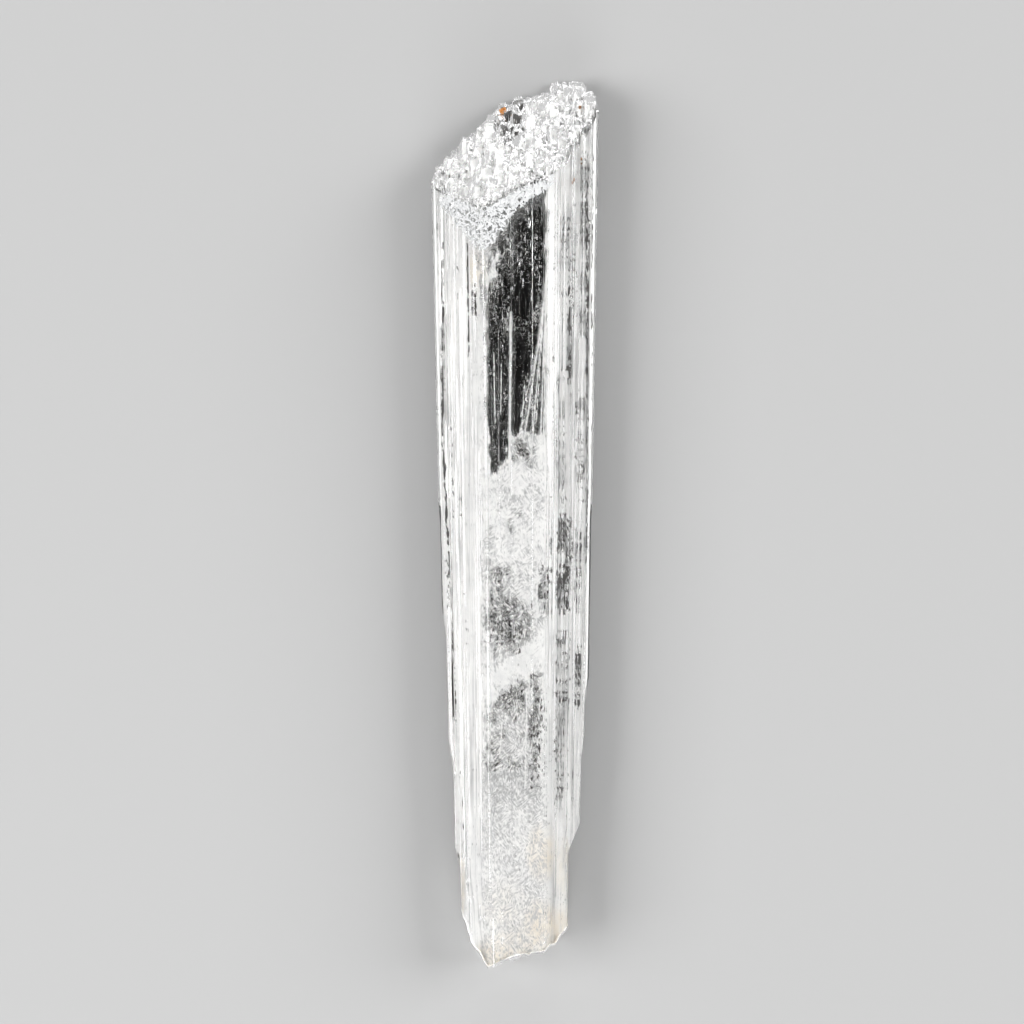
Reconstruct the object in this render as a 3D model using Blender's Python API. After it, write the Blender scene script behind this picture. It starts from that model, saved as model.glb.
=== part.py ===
"""A loose hydroboracite crystal, lying on the flat face of its back.

The crystal is a bundle of parallel blades that grew together. The bundle narrows towards its lower end,
where the blades stop one after another and the longest is broken off. The upper end is cut by a slanting
face, and a crust of small crystals stands on it. Y runs along the crystal, X across it and Z up from the
face that it rests on. All lengths are in millimetres until MM turns them into metres.
"""

import math
import random

import bmesh
import bpy
from mathutils import Matrix, Vector

MM = 0.001

# The bundle: its section is given at the reference station, and every line along it runs to one far point.
REFERENCE_Y = 30.0
TAPER_PER_MM = 0.0025
TAPER_X = 1.3

# The outline of the full section at the reference station, as (x, z) from the left rim to the right rim.
FRONT_OUTLINE = [(-7.5, 3.7), (-7.2, 4.3), (-2.7, 8.0), (2.9, 8.2), (7.0, 4.7), (7.4, 3.8)]
BACK_OUTLINE = [(-7.5, 2.9), (-7.0, 2.2), (-4.0, 0.0), (4.4, 0.0), (6.9, 2.3), (7.4, 3.0)]

# The slanting upper end is a roof of planes. Each is its height along the crystal at x = 0, z = 0, and its
# rise along x and along z: the left and the right front, the left shoulder and a narrow back edge.
END_PLANES = [(40.0, 0.67, -1.35), (38.6, 0.33, -1.16), (38.5, 1.00, -0.15), (37.9, 0.33, 0.90)]

# The core carries the face that the crystal rests on and runs down to the break.
CORE_SECTION = [
    (-4.0, 0.0), (4.4, 0.0), (5.25, 1.3), (5.4, 5.4), (2.7, 7.85), (-2.5, 7.7), (-5.9, 4.7), (-6.0, 2.0),
]
CORE_START_Y = 45.0
CORE_END_Y = -41.0

# The break: planes that cut the core's lower end, as a point and the direction that is cut away.
BREAK_PLANES = [
    ((0.0, -39.43, 0.0), (0.346, -1.0, 0.06)),
    ((-3.33, -39.0, 0.0), (-0.82, -0.57, 0.04)),
    ((-4.4, -36.8, 1.0), (-0.95, -0.30, 0.03)),
    ((0.0, -39.9, 0.0), (0.05, -1.0, 0.03)),
    ((4.3, -37.4, 1.0), (0.82, -0.57, 0.05)),
]

# The rims at both sides, as (outer x, inner x, lower end y); the outermost stop first.
RIM_BLADES = [
    (-7.52, -6.5, -0.2), (-7.40, -6.3, -10.3), (-7.05, -5.6, -21.8), (-6.60, -4.6, -31.2),
    (7.42, 6.7, 0.3), (7.32, 6.5, -16.3), (6.92, 5.7, -21.2), (6.60, 4.4, -29.4),
]
RIM_HALF_FACE = 0.42
RIM_ROOT_FRONT = 0.16
RIM_ROOT_BACK = 0.20
RIM_TOE = 2.4
RIM_TOE_SHRINK = 0.30

# Raised blades on the front, as (left x, right x, how far proud, lower end y).
FRONT_BLADES = [
    (-6.46, -5.30, 0.10, -24.0), (-5.36, -4.05, 0.22, -33.6), (-4.16, -2.74, 0.06, -37.0),
    (-2.70, -1.55, 0.10, -35.4), (-1.62, -0.36, 0.00, -38.0), (-0.42, 1.60, 0.17, -37.6),
    (1.50, 2.92, 0.08, -36.6), (2.84, 3.46, 0.26, -37.2), (3.40, 4.06, 0.12, -34.8),
    (4.12, 5.08, 0.24, -30.4), (5.02, 5.84, 0.05, -27.5), (5.90, 6.72, 0.20, -24.4),
]

# Raised blades on the slanting parts of the back; all stay clear of the surface below.
BACK_BLADES = [
    (-6.70, -5.60, 0.16, -18.0), (-5.66, -4.62, 0.05, -30.0),
    (4.96, 5.90, 0.08, -31.0), (5.84, 6.78, 0.18, -16.5),
]

# How deep a blade is rooted, how much its root narrows on each side, how far its upper end stays under the
# slanting face, and its drawn-in toe.
BLADE_DEPTH = 1.5
BLADE_ROOT_DRAFT = 0.08
BLADE_SINK = 0.1
BLADE_TOE = 1.6
BLADE_TOE_SHRINK = 0.34

# Fine ribs that run part of the way along the front.
RIB_COUNT = 26
RIB_X = (-7.0, 6.9)
RIB_Y = (-30.0, 22.0)
RIB_WIDTH = (0.22, 0.60)
RIB_PROUD = (0.14, 0.30)
RIB_LENGTH = (12.0, 34.0)
RIB_DEPTH = 1.0
RIB_TOE = 1.1
RIB_TOE_SHRINK = 0.5
RIB_GAP_TO_END = 1.0

# The crust of small crystals on the upper end: their spacing, sizes and roots. They keep clear of the
# section's edge, and towards the right they grow taller.
CRUST_STEP = 1.10
CRUST_CROWDING_Z = 0.66
CRUST_JITTER_X = 0.3
CRUST_JITTER_Z = 0.2
CRUST_WIDTH = (0.90, 1.40)
CRUST_HEIGHT = (0.25, 1.10)
CRUST_DEPTH = 1.8
CRUST_EDGE_X = 6.75
CRUST_EDGE_BACK = 0.62
CRUST_EDGE_FRONT = 0.45
CRUST_TALLER_FROM_X = 4.3
CRUST_TALLER_PER_MM = 0.70
CRUST_TALLER_MOST = 1.05

# How the small crystals turn about their length and tip towards the front and the sides, in degrees.
# Those at the sides stand straighter.
CRUST_TURN_DEG = 40.0
CRUST_TILT_DEG = (4.0, 21.0)
CRUST_LEAN_DEG = 13.0
CRUST_STRAIGHTER = 0.8

# A small crystal: six sides, flatter from front to back, with a slightly narrower root and a wedge for a tip.
CRYSTAL_SIDES = 6
CRYSTAL_THIN = 0.72
CRYSTAL_ROOT = 0.9
CRYSTAL_SHOULDER = 0.7
CRYSTAL_TIP_ACROSS = 0.62
CRYSTAL_TIP_THROUGH = 0.10

SEED = 11


def taper(x, z, y):
    """A point of the reference section carried to station y, on its line to the far point."""
    scale = 1.0 - TAPER_PER_MM * (REFERENCE_Y - y)
    return Vector((TAPER_X + (x - TAPER_X) * scale, y, z * scale))


def end_height(x, z):
    """Where the slanting upper end cuts the line through (x, z)."""
    return min(height + rise_x * x + rise_z * z for height, rise_x, rise_z in END_PLANES)


def outline_z(outline, x):
    """The outline's z at x, on straight lines between its points."""
    x = min(max(x, outline[0][0]), outline[-1][0])
    for (x0, z0), (x1, z1) in zip(outline, outline[1:]):
        if x <= x1:
            return z0 + (z1 - z0) * (x - x0) / (x1 - x0)
    return outline[-1][1]


def extrude_to(bm, face, ring):
    """Extrude a face and put the new face's corners on the ring's points."""
    region = [face, *face.edges, *face.verts]
    made = bmesh.ops.extrude_face_region(bm, geom=region)["geom"]
    new_face = [item for item in made if isinstance(item, bmesh.types.BMFace)][0]
    for vert, point in zip(new_face.verts, ring):
        vert.co = point
    return new_face


def loft(bm, rings):
    """A closed solid through rings of the same number of points, by extruding one face after another."""
    face = bm.faces.new([bm.verts.new(point) for point in rings[0]])
    for ring in rings[1:]:
        face = extrude_to(bm, face, ring)


def shrink(section, amount):
    """The section drawn in towards its own centre by a share of its size."""
    cx = sum(x for x, z in section) / len(section)
    cz = sum(z for x, z in section) / len(section)
    return [(x + (cx - x) * amount, z + (cz - z) * amount) for x, z in section]


def add_blade(bm, section, low_y, sink=0.0, high_y=None, toe=BLADE_TOE, toe_shrink=BLADE_TOE_SHRINK):
    """A blade with a drawn-in toe at its lower end, up to the slanting face or to a toe at high_y."""
    bottom = [taper(x, z, low_y) for x, z in shrink(section, toe_shrink)]
    ankle = [taper(x, z, low_y + toe) for x, z in section]
    if high_y is None:
        top = [taper(x, z, end_height(x, z) - sink) for x, z in section]
        loft(bm, [bottom, ankle, top])
        return
    knee = [taper(x, z, high_y - toe) for x, z in section]
    top = [taper(x, z, high_y) for x, z in shrink(section, toe_shrink)]
    loft(bm, [bottom, ankle, knee, top])


def surface_section(outline, side, left, right, proud, depth=BLADE_DEPTH):
    """The section of a raised blade: its outer edge follows the outline, its root lies inside."""
    z_left = outline_z(outline, left)
    z_right = outline_z(outline, right)
    root = BLADE_ROOT_DRAFT * (right - left)
    return [
        (left, z_left + side * proud), (right, z_right + side * proud),
        (right - root, z_right - side * depth), (left + root, z_left - side * depth),
    ]


def rim_section(outer, inner):
    """The section of a rim blade: a narrow outer face, then the front and back slopes."""
    middle = 0.5 * (outline_z(FRONT_OUTLINE, outer) + outline_z(BACK_OUTLINE, outer))
    return [
        (outer, middle - RIM_HALF_FACE), (outer, middle + RIM_HALF_FACE),
        (inner, outline_z(FRONT_OUTLINE, inner) - RIM_ROOT_FRONT),
        (inner, outline_z(BACK_OUTLINE, inner) + RIM_ROOT_BACK),
    ]


def add_crystal(bm, base, width, height, turn, tilt, lean):
    """A small six-sided crystal with a wedge-shaped tip, rooted in the slanting face."""
    radius = 0.5 * width
    place = Matrix.Translation(base) @ Matrix.Rotation(tilt, 4, "X") @ Matrix.Rotation(lean, 4, "Z")
    place = place @ Matrix.Rotation(turn, 4, "Y")
    root = (-CRUST_DEPTH, CRYSTAL_ROOT, CRYSTAL_ROOT)
    shoulder = (height - CRYSTAL_SHOULDER * width, 1.0, 1.0)
    tip = (height, CRYSTAL_TIP_ACROSS, CRYSTAL_TIP_THROUGH)
    rings = []
    for y, across, through in (root, shoulder, tip):
        ring = []
        for side in range(CRYSTAL_SIDES):
            angle = math.tau * (side + 0.5) / CRYSTAL_SIDES
            x = radius * across * math.cos(angle)
            z = radius * CRYSTAL_THIN * through * math.sin(angle)
            ring.append(place @ Vector((x, y, z)))
        rings.append(ring)
    loft(bm, rings)


def add_crust(bm, rng):
    """Small crystals side by side over the whole upper end, a step apart across and down its slope."""
    step_z = CRUST_STEP * CRUST_CROWDING_Z
    columns = round(2.0 * CRUST_EDGE_X / CRUST_STEP)
    count = 0
    for column in range(columns + 1):
        x_row = CRUST_EDGE_X * (2.0 * column / columns - 1.0)
        low = outline_z(BACK_OUTLINE, x_row) + CRUST_EDGE_BACK
        high = outline_z(FRONT_OUTLINE, x_row) - CRUST_EDGE_FRONT
        rows = max(2, round((high - low) / step_z))
        for row in range(rows + 1):
            x = x_row + rng.uniform(-CRUST_JITTER_X, CRUST_JITTER_X) * CRUST_STEP
            x = min(max(x, -CRUST_EDGE_X), CRUST_EDGE_X)
            z = low + (high - low) * (row + rng.uniform(-CRUST_JITTER_Z, CRUST_JITTER_Z)) / rows
            z = min(max(z, low), high)
            taller = min(CRUST_TALLER_PER_MM * max(0.0, x - CRUST_TALLER_FROM_X), CRUST_TALLER_MOST)
            straighter = 1.0 - CRUST_STRAIGHTER * (x / CRUST_EDGE_X) ** 2
            width = rng.uniform(*CRUST_WIDTH)
            height = rng.uniform(*CRUST_HEIGHT) + taller
            turn = math.radians(rng.uniform(-CRUST_TURN_DEG, CRUST_TURN_DEG))
            tilt = math.radians(rng.uniform(*CRUST_TILT_DEG)) * z / high
            lean = math.radians(rng.uniform(-CRUST_LEAN_DEG, CRUST_LEAN_DEG)) * straighter
            base = taper(x, z, end_height(x, z))
            add_crystal(bm, base, width, height, turn, tilt, lean)
            count += 1
    return count


def add_ribs(bm, rng):
    """Thin ribs along the front, each stopping at its own height at both ends."""
    for _ in range(RIB_COUNT):
        x = rng.uniform(*RIB_X)
        half = 0.5 * rng.uniform(*RIB_WIDTH)
        proud = rng.uniform(*RIB_PROUD)
        length = rng.uniform(*RIB_LENGTH)
        low_y = rng.uniform(RIB_Y[0], RIB_Y[1] - 0.5 * length)
        high_y = min(low_y + length, end_height(x, outline_z(FRONT_OUTLINE, x)) - RIB_GAP_TO_END)
        section = surface_section(FRONT_OUTLINE, 1.0, x - half, x + half, proud, RIB_DEPTH)
        add_blade(bm, section, low_y, high_y=high_y, toe=RIB_TOE, toe_shrink=RIB_TOE_SHRINK)


def cut_with_planes(bm, planes):
    """Cut away what lies beyond each plane and close each cut."""
    for point, normal in planes:
        geometry = bm.verts[:] + bm.edges[:] + bm.faces[:]
        cut = bmesh.ops.bisect_plane(
            bm, geom=geometry, plane_co=Vector(point), plane_no=Vector(normal).normalized(),
            clear_outer=True,
        )["geom_cut"]
        edges = [item for item in cut if isinstance(item, bmesh.types.BMEdge)]
        bmesh.ops.contextual_create(bm, geom=edges)


def make_object(name, bm):
    """Turn the shape into an object in metres, with its faces pointing out."""
    bmesh.ops.recalc_face_normals(bm, faces=bm.faces[:])
    bmesh.ops.scale(bm, vec=(MM, MM, MM), verts=bm.verts[:])
    mesh = bpy.data.meshes.new(name)
    bm.to_mesh(mesh)
    bm.free()
    made = bpy.data.objects.new(name, mesh)
    bpy.context.scene.collection.objects.link(made)
    return made


def make_material():
    """Clear, colourless to white mineral with a glassy to silky shine."""
    material = bpy.data.materials.new("hydroboracite")
    material.use_nodes = True
    shader = material.node_tree.nodes["Principled BSDF"]
    shader.inputs["Base Color"].default_value = (0.92, 0.94, 0.94, 1.0)
    shader.inputs["Roughness"].default_value = 0.12
    shader.inputs["Metallic"].default_value = 0.0
    shader.inputs["IOR"].default_value = 1.535
    shader.inputs["Transmission Weight"].default_value = 0.85
    return material


def make_core():
    """The long core with its slanting upper end and its broken lower end."""
    bm = bmesh.new()
    loft(bm, [[taper(x, z, y) for x, z in CORE_SECTION] for y in (CORE_END_Y, CORE_START_Y)])
    bmesh.ops.recalc_face_normals(bm, faces=bm.faces[:])
    end_planes = [
        ((0.0, height, 0.0), (-rise_x, 1.0, -rise_z)) for height, rise_x, rise_z in END_PLANES
    ]
    cut_with_planes(bm, end_planes + BREAK_PLANES)
    return make_object("crystal", bm)


def make_growths(rng):
    """Everything that has grown onto the core: rims, blades, ribs and the crust."""
    bm = bmesh.new()
    for outer, inner, low_y in RIM_BLADES:
        add_blade(bm, rim_section(outer, inner), low_y, toe=RIM_TOE, toe_shrink=RIM_TOE_SHRINK)
    for left, right, proud, low_y in FRONT_BLADES:
        add_blade(bm, surface_section(FRONT_OUTLINE, 1.0, left, right, proud), low_y, BLADE_SINK)
    for left, right, proud, low_y in BACK_BLADES:
        add_blade(bm, surface_section(BACK_OUTLINE, -1.0, left, right, proud), low_y, BLADE_SINK)
    add_ribs(bm, rng)
    crystals = add_crust(bm, rng)
    print("small crystals in the crust:", crystals)
    return make_object("growths", bm)


def centre_on_base(crystal):
    """Move the crystal so that the middle of its box's underside is at the origin."""
    bpy.context.view_layer.update()
    shape = crystal.evaluated_get(bpy.context.evaluated_depsgraph_get())
    corners = [crystal.matrix_world @ Vector(corner) for corner in shape.bound_box]
    low = Vector([min(corner[axis] for corner in corners) for axis in range(3)])
    high = Vector([max(corner[axis] for corner in corners) for axis in range(3)])
    crystal.location -= Vector((0.5 * (low.x + high.x), 0.5 * (low.y + high.y), low.z))
    print("low corner in mm:", [round(side / MM, 2) for side in low])
    print("size in mm:", [round(side / MM, 2) for side in high - low])


def main():
    """Clear the scene, grow the crystal and join everything into one solid."""
    for item in list(bpy.data.objects):
        bpy.data.objects.remove(item, do_unlink=True)
    rng = random.Random(SEED)
    crystal = make_core()
    growths = make_growths(rng)
    growths.parent = crystal
    growths.hide_render = True
    growths.display_type = "WIRE"
    join = crystal.modifiers.new("grown together", "BOOLEAN")
    join.operation = "UNION"
    join.solver = "EXACT"
    join.use_self = True
    join.object = growths
    crystal.data.materials.append(make_material())
    centre_on_base(crystal)


main()
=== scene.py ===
# %% [markdown]
# # A loose hydroboracite crystal
# The crystal lies on the flat face of its back, and the camera looks straight down on its front. It is a
# bundle of clear, parallel blades with a crust of small crystals on its slanting upper end. The notebook
# first makes the clear body as one closed surface, then the silky white veils that are inside it, and last
# the studio.

# %% Load the model
import math
import random

import bpy
import numpy as np
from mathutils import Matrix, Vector


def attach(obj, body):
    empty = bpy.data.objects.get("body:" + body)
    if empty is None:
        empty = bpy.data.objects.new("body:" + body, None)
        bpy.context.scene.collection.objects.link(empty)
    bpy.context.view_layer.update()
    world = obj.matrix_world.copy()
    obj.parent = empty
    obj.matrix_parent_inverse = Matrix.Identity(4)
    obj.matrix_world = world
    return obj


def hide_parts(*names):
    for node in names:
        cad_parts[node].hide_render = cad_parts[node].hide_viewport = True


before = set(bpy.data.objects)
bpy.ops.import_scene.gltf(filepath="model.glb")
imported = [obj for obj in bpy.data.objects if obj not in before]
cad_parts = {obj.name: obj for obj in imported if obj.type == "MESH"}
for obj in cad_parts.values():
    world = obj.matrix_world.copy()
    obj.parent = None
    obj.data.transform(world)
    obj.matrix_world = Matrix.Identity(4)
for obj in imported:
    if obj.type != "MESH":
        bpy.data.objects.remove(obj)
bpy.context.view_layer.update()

# %% [markdown]
# ## The bundle of blades
# Every line along the real crystal runs towards one far point below it, so the whole bundle can be worked
# out in one section, at a reference station, and then be carried along the crystal by a change of scale.
# All lengths are in millimetres until the mesh is made.

# %% Driving dimensions
MM = 0.001
REFERENCE_Y = 30.0
TAPER_PER_MM = 0.0025
TAPER_X = 1.3
SEED = 11

# The section from the left rim to the right rim, over the front and over the back, and where along the
# row of columns each corner falls.
FRONT = np.array([
    (-7.50, 3.3), (-7.50, 3.7), (-7.2, 4.3), (-2.7, 8.0), (2.9, 8.2), (7.0, 4.7), (7.4, 3.8), (7.4, 3.4),
])
BACK = np.array([
    (-7.50, 3.3), (-7.50, 2.9), (-7.0, 2.2), (-4.0, 0.0), (4.4, 0.0), (6.9, 2.3), (7.4, 3.0), (7.4, 3.4),
])
CORNER_AT = np.array([0.0, 0.012, 0.035, 0.345, 0.655, 0.965, 0.988, 1.0])

# The roof of planes at the upper end, and the planes of the break at the lower end.
END_PLANES = [(40.0, 0.67, -1.35), (38.6, 0.33, -1.16), (38.5, 1.00, -0.15), (37.9, 0.33, 0.90)]
BREAK_PLANES = [
    ((0.0, -39.43, 0.0), (0.346, -1.0, 0.06)),
    ((-3.33, -39.0, 0.0), (-0.82, -0.57, 0.04)),
    ((-4.4, -36.8, 1.0), (-0.95, -0.30, 0.03)),
    ((0.0, -39.9, 0.0), (0.05, -1.0, 0.03)),
    ((4.3, -37.4, 1.0), (0.82, -0.57, 0.05)),
]
# The splinters of the break, coarse and fine: their pattern as (cell across, cell along, seed), how tall
# they are, and how far all of them are sunk.
SPLINTER_PATTERNS = ((1.3, 1.6, 21), (0.4, 0.5, 22))
SPLINTERS = (0.7, 0.35)
SPLINTERS_SUNK = 0.25
NOISE_CELLS = 1024


def taper_scale(y):
    """The size of the section at station y, against the one at the reference station."""
    return 1.0 - TAPER_PER_MM * (REFERENCE_Y - y)


def end_height(x, z):
    """The roof at the upper end: the lowest of its planes at (x, z)."""
    return np.min([height + rise_x * x + rise_z * z for height, rise_x, rise_z in END_PLANES], axis=0)


def break_height(x, z):
    """The broken lower end: the highest of its planes at (x, z)."""
    planes = []
    for (px, py, pz), (nx, ny, nz) in BREAK_PLANES:
        planes.append(py + (nx * (x - px) + nz * (z - pz)) / -ny)
    return np.max(planes, axis=0)


def value_noise(x, y, cell_x, cell_y, seed):
    """Soft blotches from nought to one: random values on a lattice of cells, blended in between."""
    u, v = x / cell_x + 0.5 * NOISE_CELLS, y / cell_y + 0.5 * NOISE_CELLS
    column, row = np.floor(u).astype(int), np.floor(v).astype(int)
    ease_u, ease_v = u - column, v - row
    ease_u = ease_u * ease_u * (3.0 - 2.0 * ease_u)
    ease_v = ease_v * ease_v * (3.0 - 2.0 * ease_v)
    lattice = np.random.default_rng(seed).random((NOISE_CELLS, NOISE_CELLS))
    column, after = column % NOISE_CELLS, (column + 1) % NOISE_CELLS
    row, above = row % NOISE_CELLS, (row + 1) % NOISE_CELLS
    low = lattice[row, column] * (1.0 - ease_u) + lattice[row, after] * ease_u
    high = lattice[above, column] * (1.0 - ease_u) + lattice[above, after] * ease_u
    return low * (1.0 - ease_v) + high * ease_v


def rough_break(x, z):
    """The break with the splinters and hollows of its surface."""
    coarse, fine = [value_noise(x, z, *pattern) for pattern in SPLINTER_PATTERNS]
    return break_height(x, z) + (SPLINTERS[0] * coarse + SPLINTERS[1] * fine) - SPLINTERS_SUNK


print("section:", round(np.ptp(FRONT[:, 0]), 2), "mm across, at the reference station", REFERENCE_Y)

# %% [markdown]
# ## Blades, ribs and striations
# The flanks are stepped where one blade ends and the next shows. Each blade is a raised band of the
# section that stops at its own height. Thinner ribs lie on the blades, and the finest lines are a zigzag
# of narrow faces. All of them are one relief: a height over the section, as a function of the place
# across and the place along.

# %% The relief
# Raised blades on the front, as (left x, right x, how far proud, lower end y), and the same on the back.
FRONT_BLADES = [
    (-6.46, -5.30, 0.10, -24.0), (-5.36, -4.05, 0.22, -33.6), (-4.16, -2.74, 0.06, -37.0),
    (-2.70, -1.55, 0.10, -35.4), (-1.62, -0.36, 0.00, -38.0), (-0.42, 1.60, 0.17, -37.6),
    (1.50, 2.92, 0.08, -36.6), (2.84, 3.46, 0.26, -37.2), (3.40, 4.06, 0.12, -34.8),
    (4.12, 5.08, 0.24, -30.4), (5.02, 5.84, 0.05, -27.5), (5.90, 6.72, 0.20, -24.4),
]
BACK_BLADES = [
    (-6.70, -5.60, 0.16, -18.0), (-5.66, -4.62, 0.05, -30.0),
    (4.96, 5.90, 0.08, -31.0), (5.84, 6.78, 0.18, -16.5),
]
# Where the rims stand at the reference station: outermost x, and the height at which that rim stops.
LEFT_RIMS = [(-7.52, -0.2), (-7.40, -10.3), (-7.05, -21.8), (-6.60, -31.2), (-6.00, -60.0)]
RIGHT_RIMS = [(7.42, 0.3), (7.32, -16.3), (6.92, -21.2), (6.60, -29.4), (5.40, -60.0)]
RIM_TOE = 2.4
CORE_DROP = 0.22
BLADE_SIDE = 0.035
BLADE_TOE = 1.6
# The fine ribs: how many, where, how wide and proud, how long, which way they lean, and how they run out.
RIBS = 150
RIB_X = (-7.3, 7.2)
RIB_Y = (-40.0, 36.0)
RIB_WIDTH = (0.08, 0.7)
RIB_PROUD = (0.01, 0.10)
RIB_REACH = (6.0, 45.0)
RIB_LEAN = (0.2, 0.95)
RIB_SIDES = 1.2
RIB_FADE = 0.18
ZIGZAG_X = 8.0
ZIGZAG_STEP = 0.16
ZIGZAG_TALL = 0.022


def window(value, low, high, soft):
    """One between low and high, falling to nought over a width of soft inside each end."""
    return np.clip((value - low) / soft, 0.0, 1.0) * np.clip((high - value) / soft, 0.0, 1.0)


def rim_limit(rims, y):
    """The outermost x of the section at y: each rim runs in to the next over its toe."""
    limit = np.full_like(y, rims[-1][0])
    for (outer, stop), (inner, _) in zip(rims[-2::-1], rims[:0:-1]):
        blend = np.clip((y - stop) / RIM_TOE, 0.0, 1.0)
        limit = np.where(y > stop, inner + (outer - inner) * blend, limit)
    return limit


def blade_relief(x, y, blades):
    """The blades' heights over the outline: each a flat band, and the core's drop where none runs."""
    height = np.full(np.broadcast(x, y).shape, -CORE_DROP)
    for left, right, proud, stop in blades:
        band = window(x, left, right, BLADE_SIDE) * np.clip((y - stop) / BLADE_TOE, 0.0, 1.0)
        height = np.maximum(height, -CORE_DROP + (CORE_DROP + proud) * band)
    return height


def rib_relief(x, y, rng):
    """Fine ribs: flat bands with sloping sides, each running part of the way along."""
    height = np.zeros(np.broadcast(x, y).shape)
    for _ in range(RIBS):
        middle = rng.uniform(*RIB_X)
        half = 0.5 * RIB_WIDTH[0] * (RIB_WIDTH[1] / RIB_WIDTH[0]) ** rng.random()
        tall = rng.uniform(*RIB_PROUD)
        low = rng.uniform(*RIB_Y)
        long = RIB_REACH[0] * (RIB_REACH[1] / RIB_REACH[0]) ** rng.random()
        lean = rng.uniform(*RIB_LEAN)
        side = (x - middle) / half
        profile = np.clip(np.minimum((side + 1.0) / lean, (1.0 - side) / (RIB_SIDES - lean)), 0.0, 1.0)
        height += tall * profile * window(y, low, low + long, RIB_FADE * long)
    return height


def zigzag(x, rng):
    """A zigzag of narrow faces: straight lines between knots with random places and heights."""
    count = int(2.0 * ZIGZAG_X / ZIGZAG_STEP)
    knots = np.sort(rng.uniform(-ZIGZAG_X, ZIGZAG_X, count))
    return np.interp(x, knots, rng.uniform(-ZIGZAG_TALL, ZIGZAG_TALL, count))


print("blades:", len(FRONT_BLADES), "on the front,", len(BACK_BLADES), "on the back")

# %% [markdown]
# ## The crust
# Hundreds of small crystals stand on the slanting end, all parallel to the long crystal and each with a
# wedge for a tip. Seen along the crystal they hide their own roots, so the crust can be a height over the
# section: at each place the highest tip wins.

# %% Places of the small crystals
CRUST_STEP = 1.10
CRUST_CROWDING_Z = 0.66
CRUST_WIDTH = (0.90, 1.40)
CRUST_HEIGHT = (0.25, 1.10)
CRUST_EDGE_X = 6.75
CRUST_EDGE_BACK = 0.62
CRUST_EDGE_FRONT = 0.45
CRUST_TALLER_FROM_X = 4.3
CRUST_TALLER_PER_MM = 0.70
CRUST_TALLER_MOST = 1.05
CRUST_STRAIGHTER = 0.8
CRUST_SHIFT_X = 0.3
CRUST_SHIFT_Z = 0.2
CRUST_TURN = 40.0
CRUST_LEAN_X = 0.4
CRUST_LEAN_Z = 0.04
CRUST_LEAN_Z_DEGREES = (4.0, 21.0)
# The solid draws its ribs from the same seed before its crust. This many draws are skipped.
SOLID_RIB_DRAWS = 130


def solid_crust():
    """The places, sizes and turns of the crystals that the solid has, drawn in the same order."""
    rng = random.Random(SEED)
    for _ in range(SOLID_RIB_DRAWS):
        rng.random()
    made = []
    columns = round(2.0 * CRUST_EDGE_X / CRUST_STEP)
    for column in range(columns + 1):
        x_row = CRUST_EDGE_X * (2.0 * column / columns - 1.0)
        low = np.interp(x_row, BACK[1:-1, 0], BACK[1:-1, 1]) + CRUST_EDGE_BACK
        high = np.interp(x_row, FRONT[1:-1, 0], FRONT[1:-1, 1]) - CRUST_EDGE_FRONT
        rows = max(2, round((high - low) / (CRUST_STEP * CRUST_CROWDING_Z)))
        for row in range(rows + 1):
            x = x_row + rng.uniform(-CRUST_SHIFT_X, CRUST_SHIFT_X) * CRUST_STEP
            x = min(max(x, -CRUST_EDGE_X), CRUST_EDGE_X)
            z = low + (high - low) * (row + rng.uniform(-CRUST_SHIFT_Z, CRUST_SHIFT_Z)) / rows
            z = min(max(z, low), high)
            taller = min(CRUST_TALLER_PER_MM * max(0.0, x - CRUST_TALLER_FROM_X), CRUST_TALLER_MOST)
            straighter = 1.0 - CRUST_STRAIGHTER * (x / CRUST_EDGE_X) ** 2
            width = rng.uniform(*CRUST_WIDTH)
            height = rng.uniform(*CRUST_HEIGHT) + taller
            turn = math.radians(rng.uniform(-CRUST_TURN, CRUST_TURN))
            lean_z = CRUST_LEAN_Z * rng.uniform(*CRUST_LEAN_Z_DEGREES) * z / high
            lean_x = CRUST_LEAN_X * rng.uniform(-1.0, 1.0) * straighter
            made.append((x, z, width, height, turn, lean_x, lean_z))
    return made


# %% Smaller crystals in between
SMALL_COUNT = 520
EDGE_COUNT = 90
EDGE_BAND = 0.5
SMALL_X = (-7.2, 7.1)
SMALL_INSET_BACK = 0.15
SMALL_INSET_FRONT = 0.05
SMALL_WIDTH = (0.30, 0.80)
SMALL_HEIGHT = (0.15, 0.85)
SMALL_TURN = 0.7
SMALL_LEAN_X = 0.5
SMALL_LEAN_Z = (0.0, 0.7)


def small_crust():
    """Crystals too small for the solid, anywhere over the section, the first of them at its front edge."""
    rng = np.random.default_rng(SEED)
    made = []
    for number in range(SMALL_COUNT):
        x = rng.uniform(*SMALL_X)
        low = np.interp(x, BACK[1:-1, 0], BACK[1:-1, 1]) + SMALL_INSET_BACK
        high = np.interp(x, FRONT[1:-1, 0], FRONT[1:-1, 1]) - SMALL_INSET_FRONT
        if number < EDGE_COUNT:
            low = high - EDGE_BAND
        z = rng.uniform(low, high)
        taller = min(CRUST_TALLER_PER_MM * max(0.0, x - CRUST_TALLER_FROM_X), 0.5 * CRUST_TALLER_MOST)
        width = rng.uniform(*SMALL_WIDTH)
        height = rng.uniform(*SMALL_HEIGHT) + taller
        turn = rng.uniform(-SMALL_TURN, SMALL_TURN)
        lean_x = rng.uniform(-SMALL_LEAN_X, SMALL_LEAN_X)
        made.append((x, z, width, height, turn, lean_x, rng.uniform(*SMALL_LEAN_Z)))
    return made


crystals = solid_crust() + small_crust()
print("crystals in the crust:", len(crystals))

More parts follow.
